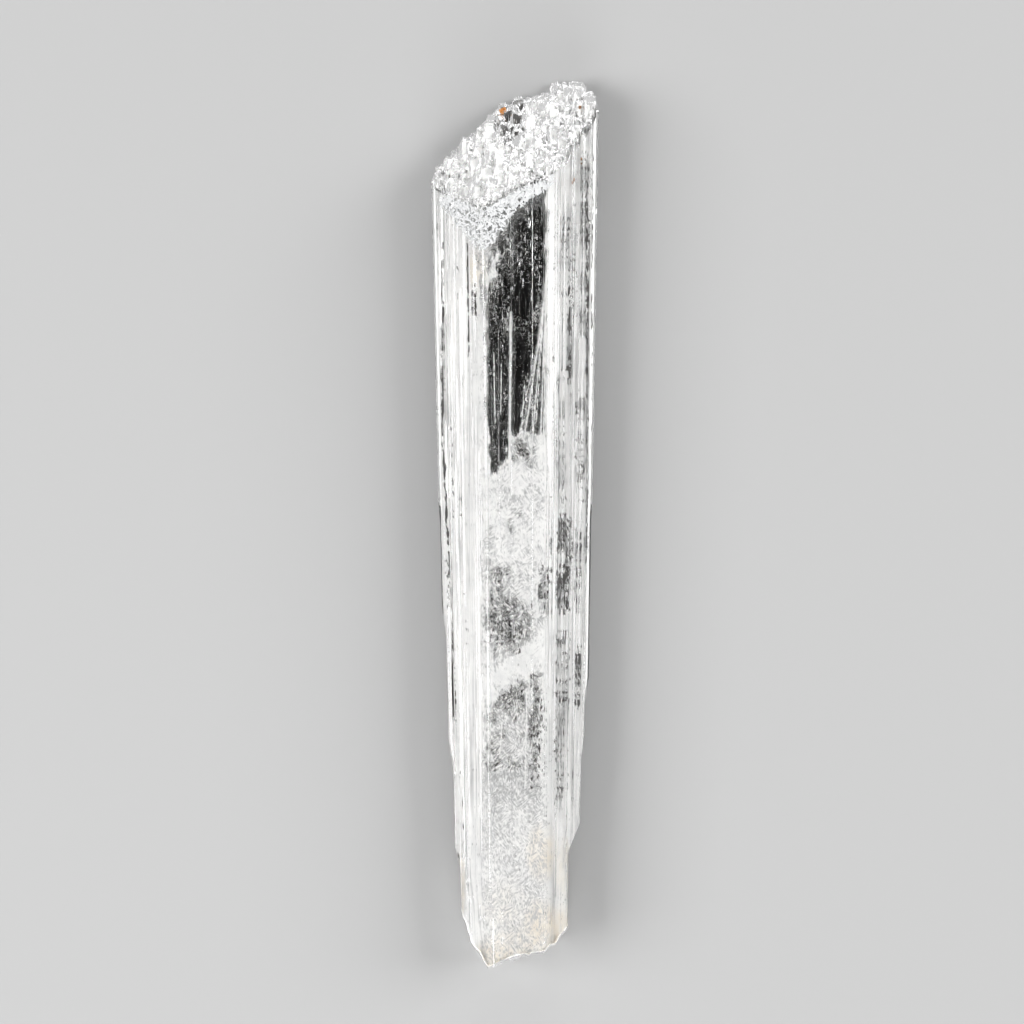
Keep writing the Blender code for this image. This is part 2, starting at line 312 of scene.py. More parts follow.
# %% The crust as a height over the section
# A tip is a six-sided prism, a little flat, with a wedge and an end face. A flat is a share of its radius.
TIP_FLATTER = 0.72
WEDGE_SLOPE, WEDGE_FLAT = 1.8, 0.08
END_SLOPE, END_FLAT = 3.0, 0.62
WALL_SLOPE, WALL_FLAT, WALL_LOWER = 9.0, 0.866, 0.6


def tip_height(x, z, crystal):
    """One small crystal over the section: the lowest of its end face, its wedge and its six walls."""
    cx, cz, width, tall, turn, lean_x, lean_z = crystal
    radius = 0.5 * width
    dx, dz = x - cx, z - cz
    u = math.cos(turn) * dx + math.sin(turn) * dz
    w = (math.cos(turn) * dz - math.sin(turn) * dx) / TIP_FLATTER
    top = end_height(cx, cz) + tall + lean_x * dx - lean_z * dz
    height = np.minimum(top, top - WEDGE_SLOPE * (np.abs(w) - WEDGE_FLAT * radius))
    height = np.minimum(height, top - END_SLOPE * (np.abs(u) - END_FLAT * radius))
    for side in range(3):
        angle = math.radians(60.0 * side + 30.0)
        reach = np.abs(math.cos(angle) * u + math.sin(angle) * w)
        height = np.minimum(height, top - WALL_LOWER * radius - WALL_SLOPE * (reach - WALL_FLAT * radius))
    return height


def crust_height(x, z, crystals):
    """The crust: the roof, or the highest tip over it."""
    height = end_height(x, z)
    for crystal in crystals:
        height = np.maximum(height, tip_height(x, z, crystal))
    return height


def crust_owner(x, z, crystals):
    """Which crystal is the highest at each place, as its number, or minus one where the roof is."""
    height = end_height(x, z)
    owner = np.full(x.shape, -1)
    for number, crystal in enumerate(crystals):
        tip = tip_height(x, z, crystal)
        owner = np.where(tip > height, number, owner)
        height = np.maximum(height, tip)
    return owner


# %% [markdown]
# ## One closed surface
# Four grids share their edges: the front and the back, each a row of columns carried along the crystal,
# the crust, and the break. Points that meet are welded by rounding, which also removes the faces that
# shrink to nothing at the rims.

# %% Grids and weld
WELD_WITHIN = 2e-4


def cells(index):
    """The four corners of every cell of a grid, in order round the cell."""
    return np.stack([index[:-1, :-1], index[:-1, 1:], index[1:, 1:], index[1:, :-1]], axis=-1)


def new_piece(name, points, faces):
    """A mesh and its object from points in millimetres, placed at the origin."""
    mesh = bpy.data.meshes.new(name)
    mesh.from_pydata((points * MM).tolist(), [], faces.tolist())
    mesh.update()
    made = bpy.data.objects.new(name, mesh)
    bpy.context.scene.collection.objects.link(made)
    return made


def weld(grids, name):
    """One mesh from grids of points: every cell is a face, equal points become one, and thin faces go."""
    points, faces, start = [], [], 0
    for grid, flip in grids:
        rows, columns = grid.shape[:2]
        index = start + np.arange(rows * columns).reshape(rows, columns)
        quad = cells(index).reshape(-1, 4)
        faces.append(quad[:, ::-1] if flip else quad)
        points.append(grid.reshape(-1, 3))
        start += rows * columns
    points = np.concatenate(points)
    faces = np.concatenate(faces)
    keys = np.round(points / WELD_WITHIN).astype(np.int64)
    _, first, group = np.unique(keys, axis=0, return_index=True, return_inverse=True)
    faces = group.reshape(-1)[faces]
    triangles = np.concatenate([faces[:, [0, 1, 2]], faces[:, [0, 2, 3]]])
    a, b, c = triangles.T
    triangles = triangles[(a != b) & (b != c) & (c != a)]
    made = new_piece(name, points[first], triangles)
    made.data.validate()
    made.data.update()
    return made


# %% [markdown]
# ## Columns of the front and the back
# A column of the grid stands on each side of every blade's edge, so that the steps stay sharp. The outward
# way of each column comes from the slope of the section, smoothed over a few columns at the corners. The
# flat of the back has columns of its own, evenly spaced, because its grooves run from one to the next.

# %% Columns and outward ways
COLUMNS = 214
ROWS = 108
CRUST_ROWS = 110
BREAK_ROWS = 44
EDGE_HALF = 0.0012
SMOOTH_OVER = 9

edges = np.array([edge for blade in FRONT_BLADES for edge in blade[:2]])
edge_at = np.interp(edges, FRONT[1:-1, 0], CORNER_AT[1:-1])
across_front = np.unique(np.concatenate([
    np.linspace(0.0, 1.0, COLUMNS), edge_at - EDGE_HALF, edge_at + EDGE_HALF, CORNER_AT,
]))
inner = (across_front > CORNER_AT[3]) & (across_front < CORNER_AT[4])
across_back = across_front.copy()
across_back[inner] = np.linspace(CORNER_AT[3], CORNER_AT[4], inner.sum() + 2)[1:-1]
across = {"front": across_front, "back": across_back}
print("columns:", len(across_front), "grooves in the back:", inner.sum() // 2)

kernel = np.hanning(SMOOTH_OVER) / np.hanning(SMOOTH_OVER).sum()
surfaces = {}
for side_name, corners, blades in (("front", FRONT, FRONT_BLADES), ("back", BACK, BACK_BLADES)):
    x0 = np.interp(across[side_name], CORNER_AT, corners[:, 0])
    z0 = np.interp(across[side_name], CORNER_AT, corners[:, 1])
    nx, nz = -np.gradient(z0, across[side_name]), np.gradient(x0, across[side_name])
    if side_name == "back":
        nx, nz = -nx, -nz
    length = np.hypot(nx, nz)
    nx = np.convolve(np.pad(nx / length, SMOOTH_OVER // 2, mode="edge"), kernel, mode="valid")
    nz = np.convolve(np.pad(nz / length, SMOOTH_OVER // 2, mode="edge"), kernel, mode="valid")
    nx[0] = nx[-1] = nz[0] = nz[-1] = 0.0
    surfaces[side_name] = (x0, z0, nx, nz, blades)

# %% [markdown]
# ## The clear body
# The relief could be a pattern that only tilts the light. But light goes through this body and bends at
# each of its faces, so here every line is a real face. The relief shows in full on the flanks and only in
# patches on the broad front face, which is nearly flat on the real crystal. The flat of the back gets fine
# grooves instead, with sides of about 45 degrees, as the striations of such a face have.

# %% The body
FACE_MIDDLE_X = 0.1
FACE_HALF = 2.6
FACE_SOFT = 0.6
FACE_SHOWN = 0.6
FACE_PATTERN = (3.0, 3.5, 35)
LINES_ON_FACE = 0.12
LINES_MORE_ON_FLANK = 0.88
ROW_CROWDING = 0.10
BREAK_STATION = -38.0
REST_FREE_Z = 0.05
REST_FADE_Z = 0.5
GROOVE_DEPTH = (1.0, 1.30)
GROOVE_PATCHES = (6.0, 5.2)
GROOVE_PATTERN = (0.22, 0.9, 5)

rng = np.random.default_rng(SEED)


def how_shown(x, y):
    """One on the flanks, and how much of the blades' height shows: all of it there, patches in between."""
    flank = np.clip((np.abs(x - FACE_MIDDLE_X) - FACE_HALF) / FACE_SOFT, 0.0, 1.0)
    return flank, flank + (1.0 - flank) * FACE_SHOWN * value_noise(x, y, *FACE_PATTERN)


def body_grid(side_name):
    """Carry the front or the back section along the crystal and add its relief along the outward way."""
    x0, z0, nx, nz, blades = surfaces[side_name]
    y_top = crust_height(x0, z0, crystals)
    scale = taper_scale(BREAK_STATION)
    y_low = rough_break(TAPER_X + (x0 - TAPER_X) * scale, z0 * scale)
    along = np.linspace(0.0, 1.0, ROWS)[:, None]
    along = along - ROW_CROWDING * np.sin(2.0 * math.pi * along) / (2.0 * math.pi)
    y = y_low + (y_top - y_low) * along
    flank, shown = how_shown(x0, y)
    lines = rib_relief(x0, y, rng)
    lines += zigzag(x0, rng)
    relief = blade_relief(x0, y, blades) * shown + lines * (LINES_ON_FACE + LINES_MORE_ON_FLANK * flank)
    if side_name == "back":
        relief = relief * np.clip((z0 - REST_FREE_Z) / REST_FADE_Z, 0.0, 1.0)
    x = x0 + nx * relief
    z = z0 + nz * relief
    if side_name == "back":
        z[:, inner] += grooves(x0[inner], y[:, inner])
    x = np.maximum(x, rim_limit(LEFT_RIMS, y))
    x = np.minimum(x, rim_limit(RIGHT_RIMS, y))
    size = taper_scale(y)
    return np.stack([TAPER_X + (x - TAPER_X) * size, y, z * size], axis=-1)


def grooves(x, y):
    """Fine striations of the back: every other column lies deeper, by its distance to the next."""
    spacing = (x[-1] - x[0]) / (len(x) - 1)
    wave = GROOVE_PATCHES[0] * value_noise(x, y, *GROOVE_PATTERN) - GROOVE_PATCHES[1]
    wave = np.clip(wave, 0.0, 1.0)
    depth = spacing * (GROOVE_DEPTH[0] + (GROOVE_DEPTH[1] - GROOVE_DEPTH[0]) * wave)
    depth[:, ::2] = 0.0
    return depth


front = body_grid("front")
back = body_grid("back")
back[:, 0], back[:, -1] = front[:, 0], front[:, -1]

# %% The two ends, and the weld
lift = np.linspace(0.0, 1.0, CRUST_ROWS)[:, None, None]
crust = back[-1] + (front[-1] - back[-1]) * lift
size = taper_scale(crust[..., 1])
section_x = TAPER_X + (crust[..., 0] - TAPER_X) / size
section_z = crust[..., 2] / size
crust_y = crust_height(section_x, section_z, crystals)
crust[1:-1, 1:-1, 1] = crust_y[1:-1, 1:-1]

lift = np.linspace(0.0, 1.0, BREAK_ROWS)[:, None, None]
broken = back[0] + (front[0] - back[0]) * lift
broken[1:-1, 1:-1, 1] = rough_break(broken[..., 0], broken[..., 2])[1:-1, 1:-1]

body = weld([(front, False), (back, True), (crust, False), (broken, True)], "clear_body")
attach(body, "root")
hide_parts("crystal")
print("body triangles:", len(body.data.polygons))

# %% [markdown]
# ## Where the crystal is white
# Silk and clouds inside the crystal hide most of what lies behind. How white each place is can be given as
# a map over the front. It is white all over, with clear panels and lines taken out and clouds put back. A
# panel is a list of stations down the crystal, each with its left and right edge in millimetres.

# %% Panels, lines and blobs
LINE_CORE = 1.5
BLOB_CORE = 1.3


def panel(x, y, stations, soft):
    """One between the left and right edges that run through the stations (y, left, right)."""
    at, left, right = np.array(sorted(stations)).T
    inside = window(x, np.interp(y, at, left), np.interp(y, at, right), soft)
    return inside * window(y, at[0], at[-1], 2.0 * soft)


def line(x, y, places, width):
    """One on the line through the places (y, x), falling off over its width."""
    at, middle = np.array(sorted(places)).T
    off = np.abs(x - np.interp(y, at, middle)) / (0.5 * width)
    return np.clip(LINE_CORE - off, 0.0, 1.0) * window(y, at[0], at[-1], 0.5)


def blob(x, y, place):
    """A soft ellipse (x, y, half width, half height): one in the middle and nought outside."""
    middle_x, middle_y, wide, tall = place
    off_x, off_y = ((x - middle_x) / wide) ** 2, ((y - middle_y) / tall) ** 2
    return np.clip(BLOB_CORE - BLOB_CORE * off_x - BLOB_CORE * off_y, 0.0, 1.0)


# %% [markdown]
# The real crystal has one large clear window in its upper half, greyer places below it, and a right flank
# that is half clear. The list gives them in that order, from the top of the crystal down.

# %% Clear windows
# Each is (stations, how clear, width of its soft edge).
WINDOWS = [
    # The clear crystal in the crust, and the main window under the crust with its lower arms.
    ([(38.9, -1.0, 0.9), (36.8, -1.9, 0.9), (35.2, -1.3, 0.5), (34.0, -1.0, -0.3)], 0.9, 0.2),
    (
        [(31.2, 1.5, 2.9), (29.6, 0.6, 2.9), (28.0, -0.2, 2.9), (25.4, -1.1, 2.9), (22.6, -1.0, 2.75)],
        0.97, 0.25,
    ),
    ([(23.6, -0.9, 2.2), (21.4, -0.7, 2.1), (19.1, -0.6, 1.9), (16.5, -0.6, 1.6)], 1.0, 0.2),
    (
        [(26.4, -1.7, -0.8), (23.6, -1.7, -0.6), (21.4, -2.4, -0.4), (19.1, -2.8, -0.4), (16.3, -2.7, -0.4)],
        0.78, 0.3,
    ),
    ([(17.5, -2.65, -0.25), (12.0, -2.6, -0.3), (5.6, -2.4, -0.4), (3.6, -2.3, -1.4)], 0.86, 0.2),
    ([(18.5, -0.45, 1.6), (12.0, -0.5, 1.1), (8.2, -0.45, 0.7)], 0.93, 0.2),
    ([(24.4, 1.8, 2.95), (18.5, 1.2, 2.9), (12.0, 0.8, 2.8), (7.6, 0.4, 2.6)], 0.74, 0.3),
    # Grey places round it.
    ([(28.0, -3.2, -0.6), (25.0, -3.7, -1.2), (22.0, -3.6, -2.0), (18.5, -3.1, -2.4)], 0.50, 0.5),
    ([(9.0, -0.6, 2.6), (5.0, -1.0, 2.2), (2.0, -0.6, 1.4)], 0.40, 0.8),
    # The middle windows: a faint one, the grey one with its two darker places, and the one below the band.
    ([(3.6, -1.0, 1.2), (0.6, -1.5, 1.4), (-2.8, -1.2, 0.8)], 0.42, 0.9),
    (
        [(-1.6, -3.3, -0.2), (-5.0, -3.2, 0.8), (-8.6, -3.2, 2.6), (-11.0, -3.1, 1.8), (-13.4, -2.4, -0.4)],
        0.44, 1.1,
    ),
    ([(-2.6, -0.4, 1.7), (-6.6, -1.0, 1.8)], 0.40, 0.7),
    ([(-6.2, -3.2, -1.0), (-9.0, -3.2, 0.6), (-12.6, -1.9, 0.3)], 0.56, 0.9),
    ([(-3.6, 1.9, 3.2), (-10.4, 1.6, 3.1)], 0.46, 0.4),
    ([(-14.0, -1.0, 2.8), (-15.8, -3.4, 2.8), (-22.0, -3.5, 2.7), (-27.0, -3.4, 2.6)], 0.42, 0.9),
    ([(-13.8, -0.6, 1.6), (-15.6, -2.8, 1.6), (-17.2, -2.9, 0.2)], 0.54, 0.7),
    ([(-12.0, 1.0, 2.7), (-17.0, 0.9, 2.6), (-23.4, 0.8, 2.5), (-28.0, 0.5, 2.4)], 0.54, 0.6),
    # The greyer lower part.
    ([(-28.6, -0.2, 1.9), (-31.4, -0.6, 1.4)], 0.42, 0.9),
    ([(-31.0, 0.2, 2.6), (-36.6, 0.4, 2.7)], 0.46, 0.9),
    ([(-32.6, -3.2, -1.2), (-36.2, -3.1, -1.6)], 0.46, 0.8),
    # The right flank.
    ([(0.8, 3.3, 5.0), (-3.0, 3.3, 5.0), (-8.5, 3.3, 4.8)], 0.46, 0.5),
    ([(0.8, 5.1, 5.8), (-8.2, 5.2, 5.7)], 0.46, 0.3),
    ([(-10.0, 3.4, 4.8), (-17.0, 3.3, 4.6), (-27.0, 3.3, 4.2)], 0.44, 0.5),
    ([(-9.5, 5.1, 5.9), (-17.5, 5.0, 5.6)], 0.44, 0.3),
    ([(32.5, 5.6, 6.5), (20.0, 5.7, 6.6), (8.0, 5.9, 6.7), (-3.0, 6.0, 6.7)], 0.50, 0.35),
    ([(19.5, 4.3, 5.1), (12.0, 4.2, 5.2)], 0.46, 0.25),
    ([(14.0, 3.2, 4.6), (2.0, 3.2, 4.8)], 0.32, 0.6),
    ([(29.0, 3.1, 5.5), (19.0, 3.1, 5.5)], 0.34, 0.7),
    # The grains at the left end of the crust.
    ([(32.0, -7.2, -5.4), (29.0, -7.0, -5.6)], 0.35, 0.25),
]
# How white the rest is: across the flanks, and down the middle.
ACROSS = ((-7.5, 0.97), (-3.4, 0.97), (3.0, 0.95), (3.4, 0.92), (5.0, 0.85), (6.6, 0.84), (7.4, 0.95))
DOWN = ((-40.0, 0.68), (-28.0, 0.68), (-14.0, 0.80), (2.0, 0.75), (12.0, 0.91), (30.0, 0.97))
MIDDLE_X = (-3.5, 3.2)
LOW_WINDOWS_Y = -22.0
LOW_WINDOWS_LEAST = 0.57
print("windows:", len(WINDOWS))

# %% [markdown]
# White things cross the windows: a strip down the main window, a fan of straight lines from its right edge,
# slanted cracks and a few clouds. They are put back after the windows are taken out.

# %% Lines and clouds
# White lines and strips that cross the windows: (places as (y, x), width).
THREADS = [
    ([(19.0, -0.36), (3.5, -0.5)], 0.24), ([(-10.0, 2.9), (-37.0, 3.0)], 0.5),
    ([(28.6, 5.8), (27.2, 4.4), (25.2, 3.0)], 0.16), ([(30.2, 5.4), (29.0, 3.6)], 0.12),
    ([(32.0, 5.65), (26.6, 5.8)], 0.16), ([(18.4, 4.3), (17.7, 5.2)], 0.2),
    ([(-14.5, 1.05), (-24.0, 0.9)], 0.12), ([(-17.5, -1.1), (-21.0, -1.4)], 0.10),
    ([(15.5, -1.9), (8.5, -1.75)], 0.09), ([(14.5, -1.2), (9.5, -1.25)], 0.08),
    ([(13.0, 0.9), (8.5, 0.6)], 0.08), ([(-27.5, -3.5), (-33.5, -2.5)], 0.14),
    ([(-2.0, 2.0), (-9.5, 1.9)], 0.12), ([(1.0, 3.15), (-9.0, 3.2)], 0.12),
]
# A fan of white lines that starts from the window's right edge: (top y, foot y, foot x, width).
FAN_X = 3.0
FAN_LEAN = 0.06
FAN = [
    (25.6, 2.6, 2.95, 0.13), (24.6, 6.4, 2.50, 0.07), (23.9, 4.4, 2.15, 0.12), (23.0, 8.2, 1.84, 0.07),
    (22.4, 5.6, 1.40, 0.10), (21.0, 9.4, 1.18, 0.06), (19.6, 6.8, 0.72, 0.12), (17.0, 9.0, 0.40, 0.06),
]
for top_y, foot_y, foot_x, wide in FAN:
    THREADS.append(([(top_y, FAN_X - FAN_LEAN * (FAN[0][0] - top_y)), (foot_y, foot_x)], wide))
CLOUDS = [(0.2, 4.0, 2.2, 2.2), (-2.2, 1.5, 1.2, 2.5), (1.6, -1.4, 0.9, 1.6)]
# How white the clouds, the slanted band, the lines and the specks in the main window are.
CLOUD_WHITE = 0.84
BAND_WHITE = 0.97
THREAD_WHITE = 0.95
SPECK_WHITE = 0.42
# The band is a straight line (y at the middle, rise), with (half width, wider to the right), a fall-off at
# its edge, and (from, to, soft edge) across.
BAND_LINE = (-12.6, 0.78)
BAND_HALF = (1.6, 0.15)
BAND_EDGE = (1.6, 1.2)
BAND_X = (-3.4, 3.3, 0.5)
# How far the edges of the windows wander, across in two sizes and along.
WANDER_X = (0.5, 0.35)
WANDER_Y = 1.6
WANDER_X_PATTERNS, WANDER_Y_PATTERN = ((0.8, 1.1, 1), (0.2, 0.5, 2)), (0.9, 1.3, 3)
# Blotches in two sizes break the white up, most of all where it is half clear, and less in the lower half.
BLOTCHES = (0.6, 0.4)
BLOTCH_PATTERNS = ((0.45, 0.7, 4), (1.4, 2.0, 6))
BLOTCHED = (0.12, 2.4)
QUIET_Y, QUIET_RISE, QUIET = -14.0, 16.0, 0.35
# Small holes left of the main window, and small white specks in it, each in (from, to, soft edge).
HOLES, HOLES_ABOVE, HOLES_PATTERN = 0.35, 0.35, (0.22, 0.3, 9)
HOLES_X, HOLES_Y = (-3.2, 1.4, 0.8), (24.4, 31.0, 2.4)
SPECK_PATTERN = (0.25, 0.35, 8)
SPECK_X = (-1.6, 2.9, 0.6)
SPECK_HIGH_Y, SPECK_LOW_Y = (21.0, 29.0, 2.0), (16.4, 18.8, 0.6)


def whiteness(x, y):
    """How white each place of the front is, from nought where it is clear to one."""
    wander_x = x
    for reach, pattern in zip(WANDER_X, WANDER_X_PATTERNS):
        wander_x = wander_x + reach * (value_noise(x, y, *pattern) - 0.5)
    wander_y = y + WANDER_Y * (value_noise(x, y, *WANDER_Y_PATTERN) - 0.5)
    middle = window(x, *MIDDLE_X, 0.5)
    white = np.interp(x, *np.array(ACROSS).T) * (1.0 - middle) + np.interp(y, *np.array(DOWN).T) * middle
    for stations, clearness, soft in WINDOWS:
        white = np.minimum(white, 1.0 - clearness * panel(wander_x, wander_y, stations, soft))
    small, large = [value_noise(x, y, *pattern) for pattern in BLOTCH_PATTERNS]
    blotches = BLOTCHES[0] * small + BLOTCHES[1] * large - 0.5
    upper = np.clip((y - QUIET_Y) / QUIET_RISE, 0.0, 1.0)
    strength = (BLOTCHED[0] + BLOTCHED[1] * white * (1.0 - white)) * (QUIET + (1.0 - QUIET) * upper)
    white = np.clip(white + strength * blotches, 0.0, 1.0)
    white = np.maximum(white, LOW_WINDOWS_LEAST * (y < LOW_WINDOWS_Y))
    ragged = window(x, *HOLES_X) * window(y, *HOLES_Y)
    holes = np.clip(value_noise(x, y, *HOLES_PATTERN) - HOLES_ABOVE, 0.0, 1.0)
    white = white - HOLES * ragged * holes * (white > 0.5)
    for place in CLOUDS:
        white = np.maximum(white, CLOUD_WHITE * blob(x, y, place))
    band = (wander_y - (BAND_LINE[0] + BAND_LINE[1] * x)) / (BAND_HALF[0] + BAND_HALF[1] * x)
    band = np.clip(BAND_EDGE[0] - np.abs(band) * BAND_EDGE[1], 0.0, 1.0) * window(x, *BAND_X)
    white = np.maximum(white, BAND_WHITE * band)
    dusty = window(x, *SPECK_X) * (window(y, *SPECK_HIGH_Y) + window(y, *SPECK_LOW_Y))
    white = np.maximum(white, SPECK_WHITE * dusty * value_noise(x, y, *SPECK_PATTERN))
    for places, width in THREADS:
        white = np.maximum(white, THREAD_WHITE * line(x, y, places, width))
    return np.clip(white, 0.0, 1.0)


print("white lines:", len(THREADS), "clouds:", len(CLOUDS))

# %% [markdown]
# ## Cream stains
# The real crystal is stained a pale cream near its broken end and in one place of the left flank. A second
# map gives the stains as soft ellipses, broken up by two sizes of blotches.

# %% Stains
# Cream stains as ((x, y, half width, half height), strength).
CREAM = [
    ((2.3, -29.4, 1.5, 3.0), 0.42), ((2.2, -36.0, 2.1, 2.8), 0.46), ((-1.6, -38.9, 2.8, 1.8), 0.60),
    ((-4.8, -32.5, 0.5, 3.2), 0.60), ((-3.3, 22.6, 1.0, 2.0), 0.40), ((4.0, -36.6, 1.6, 2.8), 0.42),
    ((0.5, -38.4, 4.4, 2.6), 0.40), ((4.3, -31.0, 0.9, 3.2), 0.30), ((-1.0, -34.0, 2.4, 2.6), 0.16),
]
CREAM_BLOTCHES = 0.7
CREAM_PATTERNS = ((0.25, 0.35, 7), (0.9, 1.2, 34))


def creaminess(x, y):
    """How cream each place is: natural staining near the lower end and in one place of the left flank."""
    stain = np.zeros(np.broadcast(x, y).shape)
    for place, strength in CREAM:
        stain = np.maximum(stain, strength * blob(x, y, place))
    fine, coarse = [value_noise(x, y, *pattern) for pattern in CREAM_PATTERNS]
    return stain * (CREAM_BLOTCHES * fine + CREAM_BLOTCHES * coarse)


print("stains:", len(CREAM))

# %% [markdown]
# ## Painted shade in seams and lumps
# Between some blades runs a thin seam where the clear crystal shows only shade. That shade is painted on the
# veils in brown-black, broken up into dots and dashes. The right flank has lumps of the same painted shade.
# A third map says where they are.

# %% Seams and lumps
# Each seam is (places as (y, x), width, how dark), and each lump is (stations, how dark).
SHADE_SEAMS = [
    ([(25.5, -6.48), (7.5, -6.45)], 0.20, 0.80), ([(18.0, -6.50), (9.0, -6.42)], 0.26, 1.15),
    ([(7.5, -6.45), (-3.0, -5.9), (-7.0, -5.6), (-18.0, -5.3)], 0.22, 1.00),
    ([(25.5, -4.05), (14.5, -3.95)], 0.14, 0.85), ([(21.7, -3.5), (18.0, -3.45)], 0.40, 0.75),
    ([(28.6, -7.0), (23.0, -6.98)], 0.12, 0.55), ([(11.0, -5.58), (0.2, -5.4)], 0.12, 0.55),
    ([(14.6, -4.5), (11.0, -4.5)], 0.10, 0.6), ([(4.0, -4.86), (0.2, -4.8)], 0.12, 0.55),
    ([(26.0, -5.0), (16.0, -4.95)], 0.08, 0.35), ([(-3.0, -4.4), (-16.0, -4.1)], 0.08, 0.35),
    ([(21.5, 4.68), (17.8, 4.7)], 0.16, 0.85), ([(16.4, 4.8), (9.2, 4.85)], 0.16, 0.9),
    ([(33.5, 6.98), (-3.0, 6.85)], 0.14, 0.62), ([(26.0, 3.3), (2.0, 3.15)], 0.08, 0.45),
    ([(20.0, 3.7), (6.0, 3.55)], 0.07, 0.4), ([(12.0, 4.2), (-2.0, 4.1)], 0.09, 0.5),
    ([(30.0, 4.6), (24.0, 4.6)], 0.12, 0.5), ([(28.0, 5.4), (6.0, 5.45)], 0.08, 0.42),
    ([(32.5, 5.75), (24.0, 5.8)], 0.10, 0.5), ([(-9.0, 4.9), (-30.0, 4.4)], 0.10, 0.5),
    ([(-18.0, 5.2), (-27.0, 4.9)], 0.09, 0.5), ([(-22.0, -4.8), (-33.0, -4.3)], 0.09, 0.4),
    ([(-12.0, 2.65), (-30.0, 2.65)], 0.08, 0.45), ([(0.0, 3.0), (-9.5, 3.05)], 0.10, 0.55),
    ([(28.3, 5.8), (26.9, 4.4), (24.9, 3.0)], 0.12, 0.55), ([(29.0, 5.8), (27.5, 4.3)], 0.10, 0.40),
]
SHADE_LUMPS = [
    ([(33.5, 5.95, 6.5), (20.0, 6.0, 6.6), (8.0, 6.1, 6.7), (-3.4, 6.1, 6.7)], 0.62),
    ([(18.2, 4.4, 5.1), (12.8, 4.3, 5.1)], 0.56), ([(12.0, 5.2, 6.1), (2.0, 5.2, 6.1)], 0.40),
    ([(28.0, 4.2, 5.4), (18.0, 4.3, 5.4)], 0.30), ([(9.0, 3.4, 4.4), (1.0, 3.4, 4.6)], 0.30),
    ([(-6.1, 1.35, 1.70), (-9.2, 1.3, 1.65)], 0.70), ([(-3.6, 2.2, 3.0), (-7.0, 2.3, 3.1)], 0.80),
    ([(-3.8, 3.4, 5.0), (-8.3, 3.5, 4.8)], 0.66), ([(0.4, 5.15, 5.85), (-7.9, 5.15, 5.8)], 1.15),
    ([(0.6, 3.5, 5.2), (-3.6, 3.4, 5.2)], 0.52), ([(-9.0, 3.3, 4.7), (-16.0, 3.3, 4.7)], 0.46),
    ([(-10.6, 5.3, 5.9), (-17.3, 5.2, 5.8)], 0.70), ([(-16.0, 3.3, 4.5), (-25.0, 3.2, 4.2)], 0.40),
    ([(-2.0, -6.4, -5.9), (-8.0, -6.1, -5.6)], 0.40), ([(-27.0, 4.2, 4.45), (-27.9, 4.2, 4.45)], 1.0),
    ([(-9.6, 0.0, 1.0), (-11.6, -0.8, 0.4)], 0.46), ([(-7.0, -2.7, -0.4), (-10.5, -2.7, -0.8)], 0.34),
    ([(-14.6, 1.4, 2.6), (-19.0, 1.3, 2.6), (-24.0, 1.2, 2.4)], 0.38),
    ([(-14.2, -1.4, 0.4), (-15.6, -2.2, 0.2)], 0.36),
    # In the crust, painted shade: on the see-through crystal, in the notch beside it, and between grains.
    ([(39.0, -0.9, 1.0), (37.6, -1.6, 1.0), (36.4, -1.9, 0.8), (35.0, -1.3, 0.5), (34.0, -1.0, -0.1)], 1.1),
    ([(38.9, 2.3, 2.75), (37.9, 2.35, 2.7)], 1.0), ([(32.9, -4.9, -4.5), (32.1, -4.9, -4.5)], 0.9),
    ([(31.8, -4.7, -4.2), (31.0, -4.7, -4.2)], 0.9), ([(32.4, -7.1, -5.6), (29.6, -7.1, -5.8)], 0.42),
    ([(35.4, 1.4, 1.9), (34.4, 1.4, 1.8)], 0.60), ([(36.6, 3.9, 4.5), (35.4, 3.9, 4.4)], 0.42),
]
# Small dots of painted shade between the grains of the crust, as (x, y), and their size and how dark they
# are.
CRUST_SHADE_DOTS = [
    (-6.6, 31.6), (-6.2, 30.4), (-5.9, 32.3), (-6.9, 30.0), (-5.3, 33.0), (-3.0, 33.2), (4.6, 36.6),
    (5.3, 35.4), (6.0, 37.4), (6.2, 36.0), (5.7, 34.3), (3.1, 36.9), (2.6, 35.0), (4.9, 38.6),
    (0.6, 32.4), (-2.0, 31.6), (6.1, 38.5), (3.9, 33.6), (-0.9, 34.0), (1.7, 38.1), (-4.0, 34.4),
    (6.4, 34.9),
]
DOT_TALL, DOT_WIDE_TOP, DOT_WIDE_LOW = 0.3, 0.16, 0.14
DOT_DARK = 1.1
for dot_x, dot_y in CRUST_SHADE_DOTS:
    top = (dot_y + DOT_TALL, dot_x - DOT_WIDE_TOP, dot_x + DOT_WIDE_TOP)
    foot = (dot_y - DOT_TALL, dot_x - DOT_WIDE_LOW, dot_x + DOT_WIDE_LOW)
    SHADE_LUMPS.append(([top, foot], DOT_DARK))
SEAM_WANDER_X, SEAM_WANDER_X_PATTERN = 0.14, (0.5, 1.2, 31)
SEAM_WANDER_Y, SEAM_WANDER_Y_PATTERN = 2.0, (0.35, 0.9, 32)
LUMP_SOFT = 0.22
SEAM_LEAST, SEAM_BROKEN, SEAM_PATTERN = 0.45, 0.85, (0.5, 0.8, 33)


def painted_shade_map(x, y):
    """How much shade is painted at each place, from nought to one, with the seams and lumps wandering a
    little.
    """
    wander_x = x + SEAM_WANDER_X * (value_noise(x, y, *SEAM_WANDER_X_PATTERN) - 0.5)
    wander_y = y + SEAM_WANDER_Y * (value_noise(x, y, *SEAM_WANDER_Y_PATTERN) - 0.5)
    dark = np.zeros(np.broadcast(x, y).shape)
    for places, width, strength in SHADE_SEAMS:
        dark = np.maximum(dark, strength * line(wander_x, y, places, width))
    for stations, strength in SHADE_LUMPS:
        dark = np.maximum(dark, strength * panel(wander_x, wander_y, stations, LUMP_SOFT))
    return dark * (SEAM_LEAST + SEAM_BROKEN * value_noise(x, y, *SEAM_PATTERN))


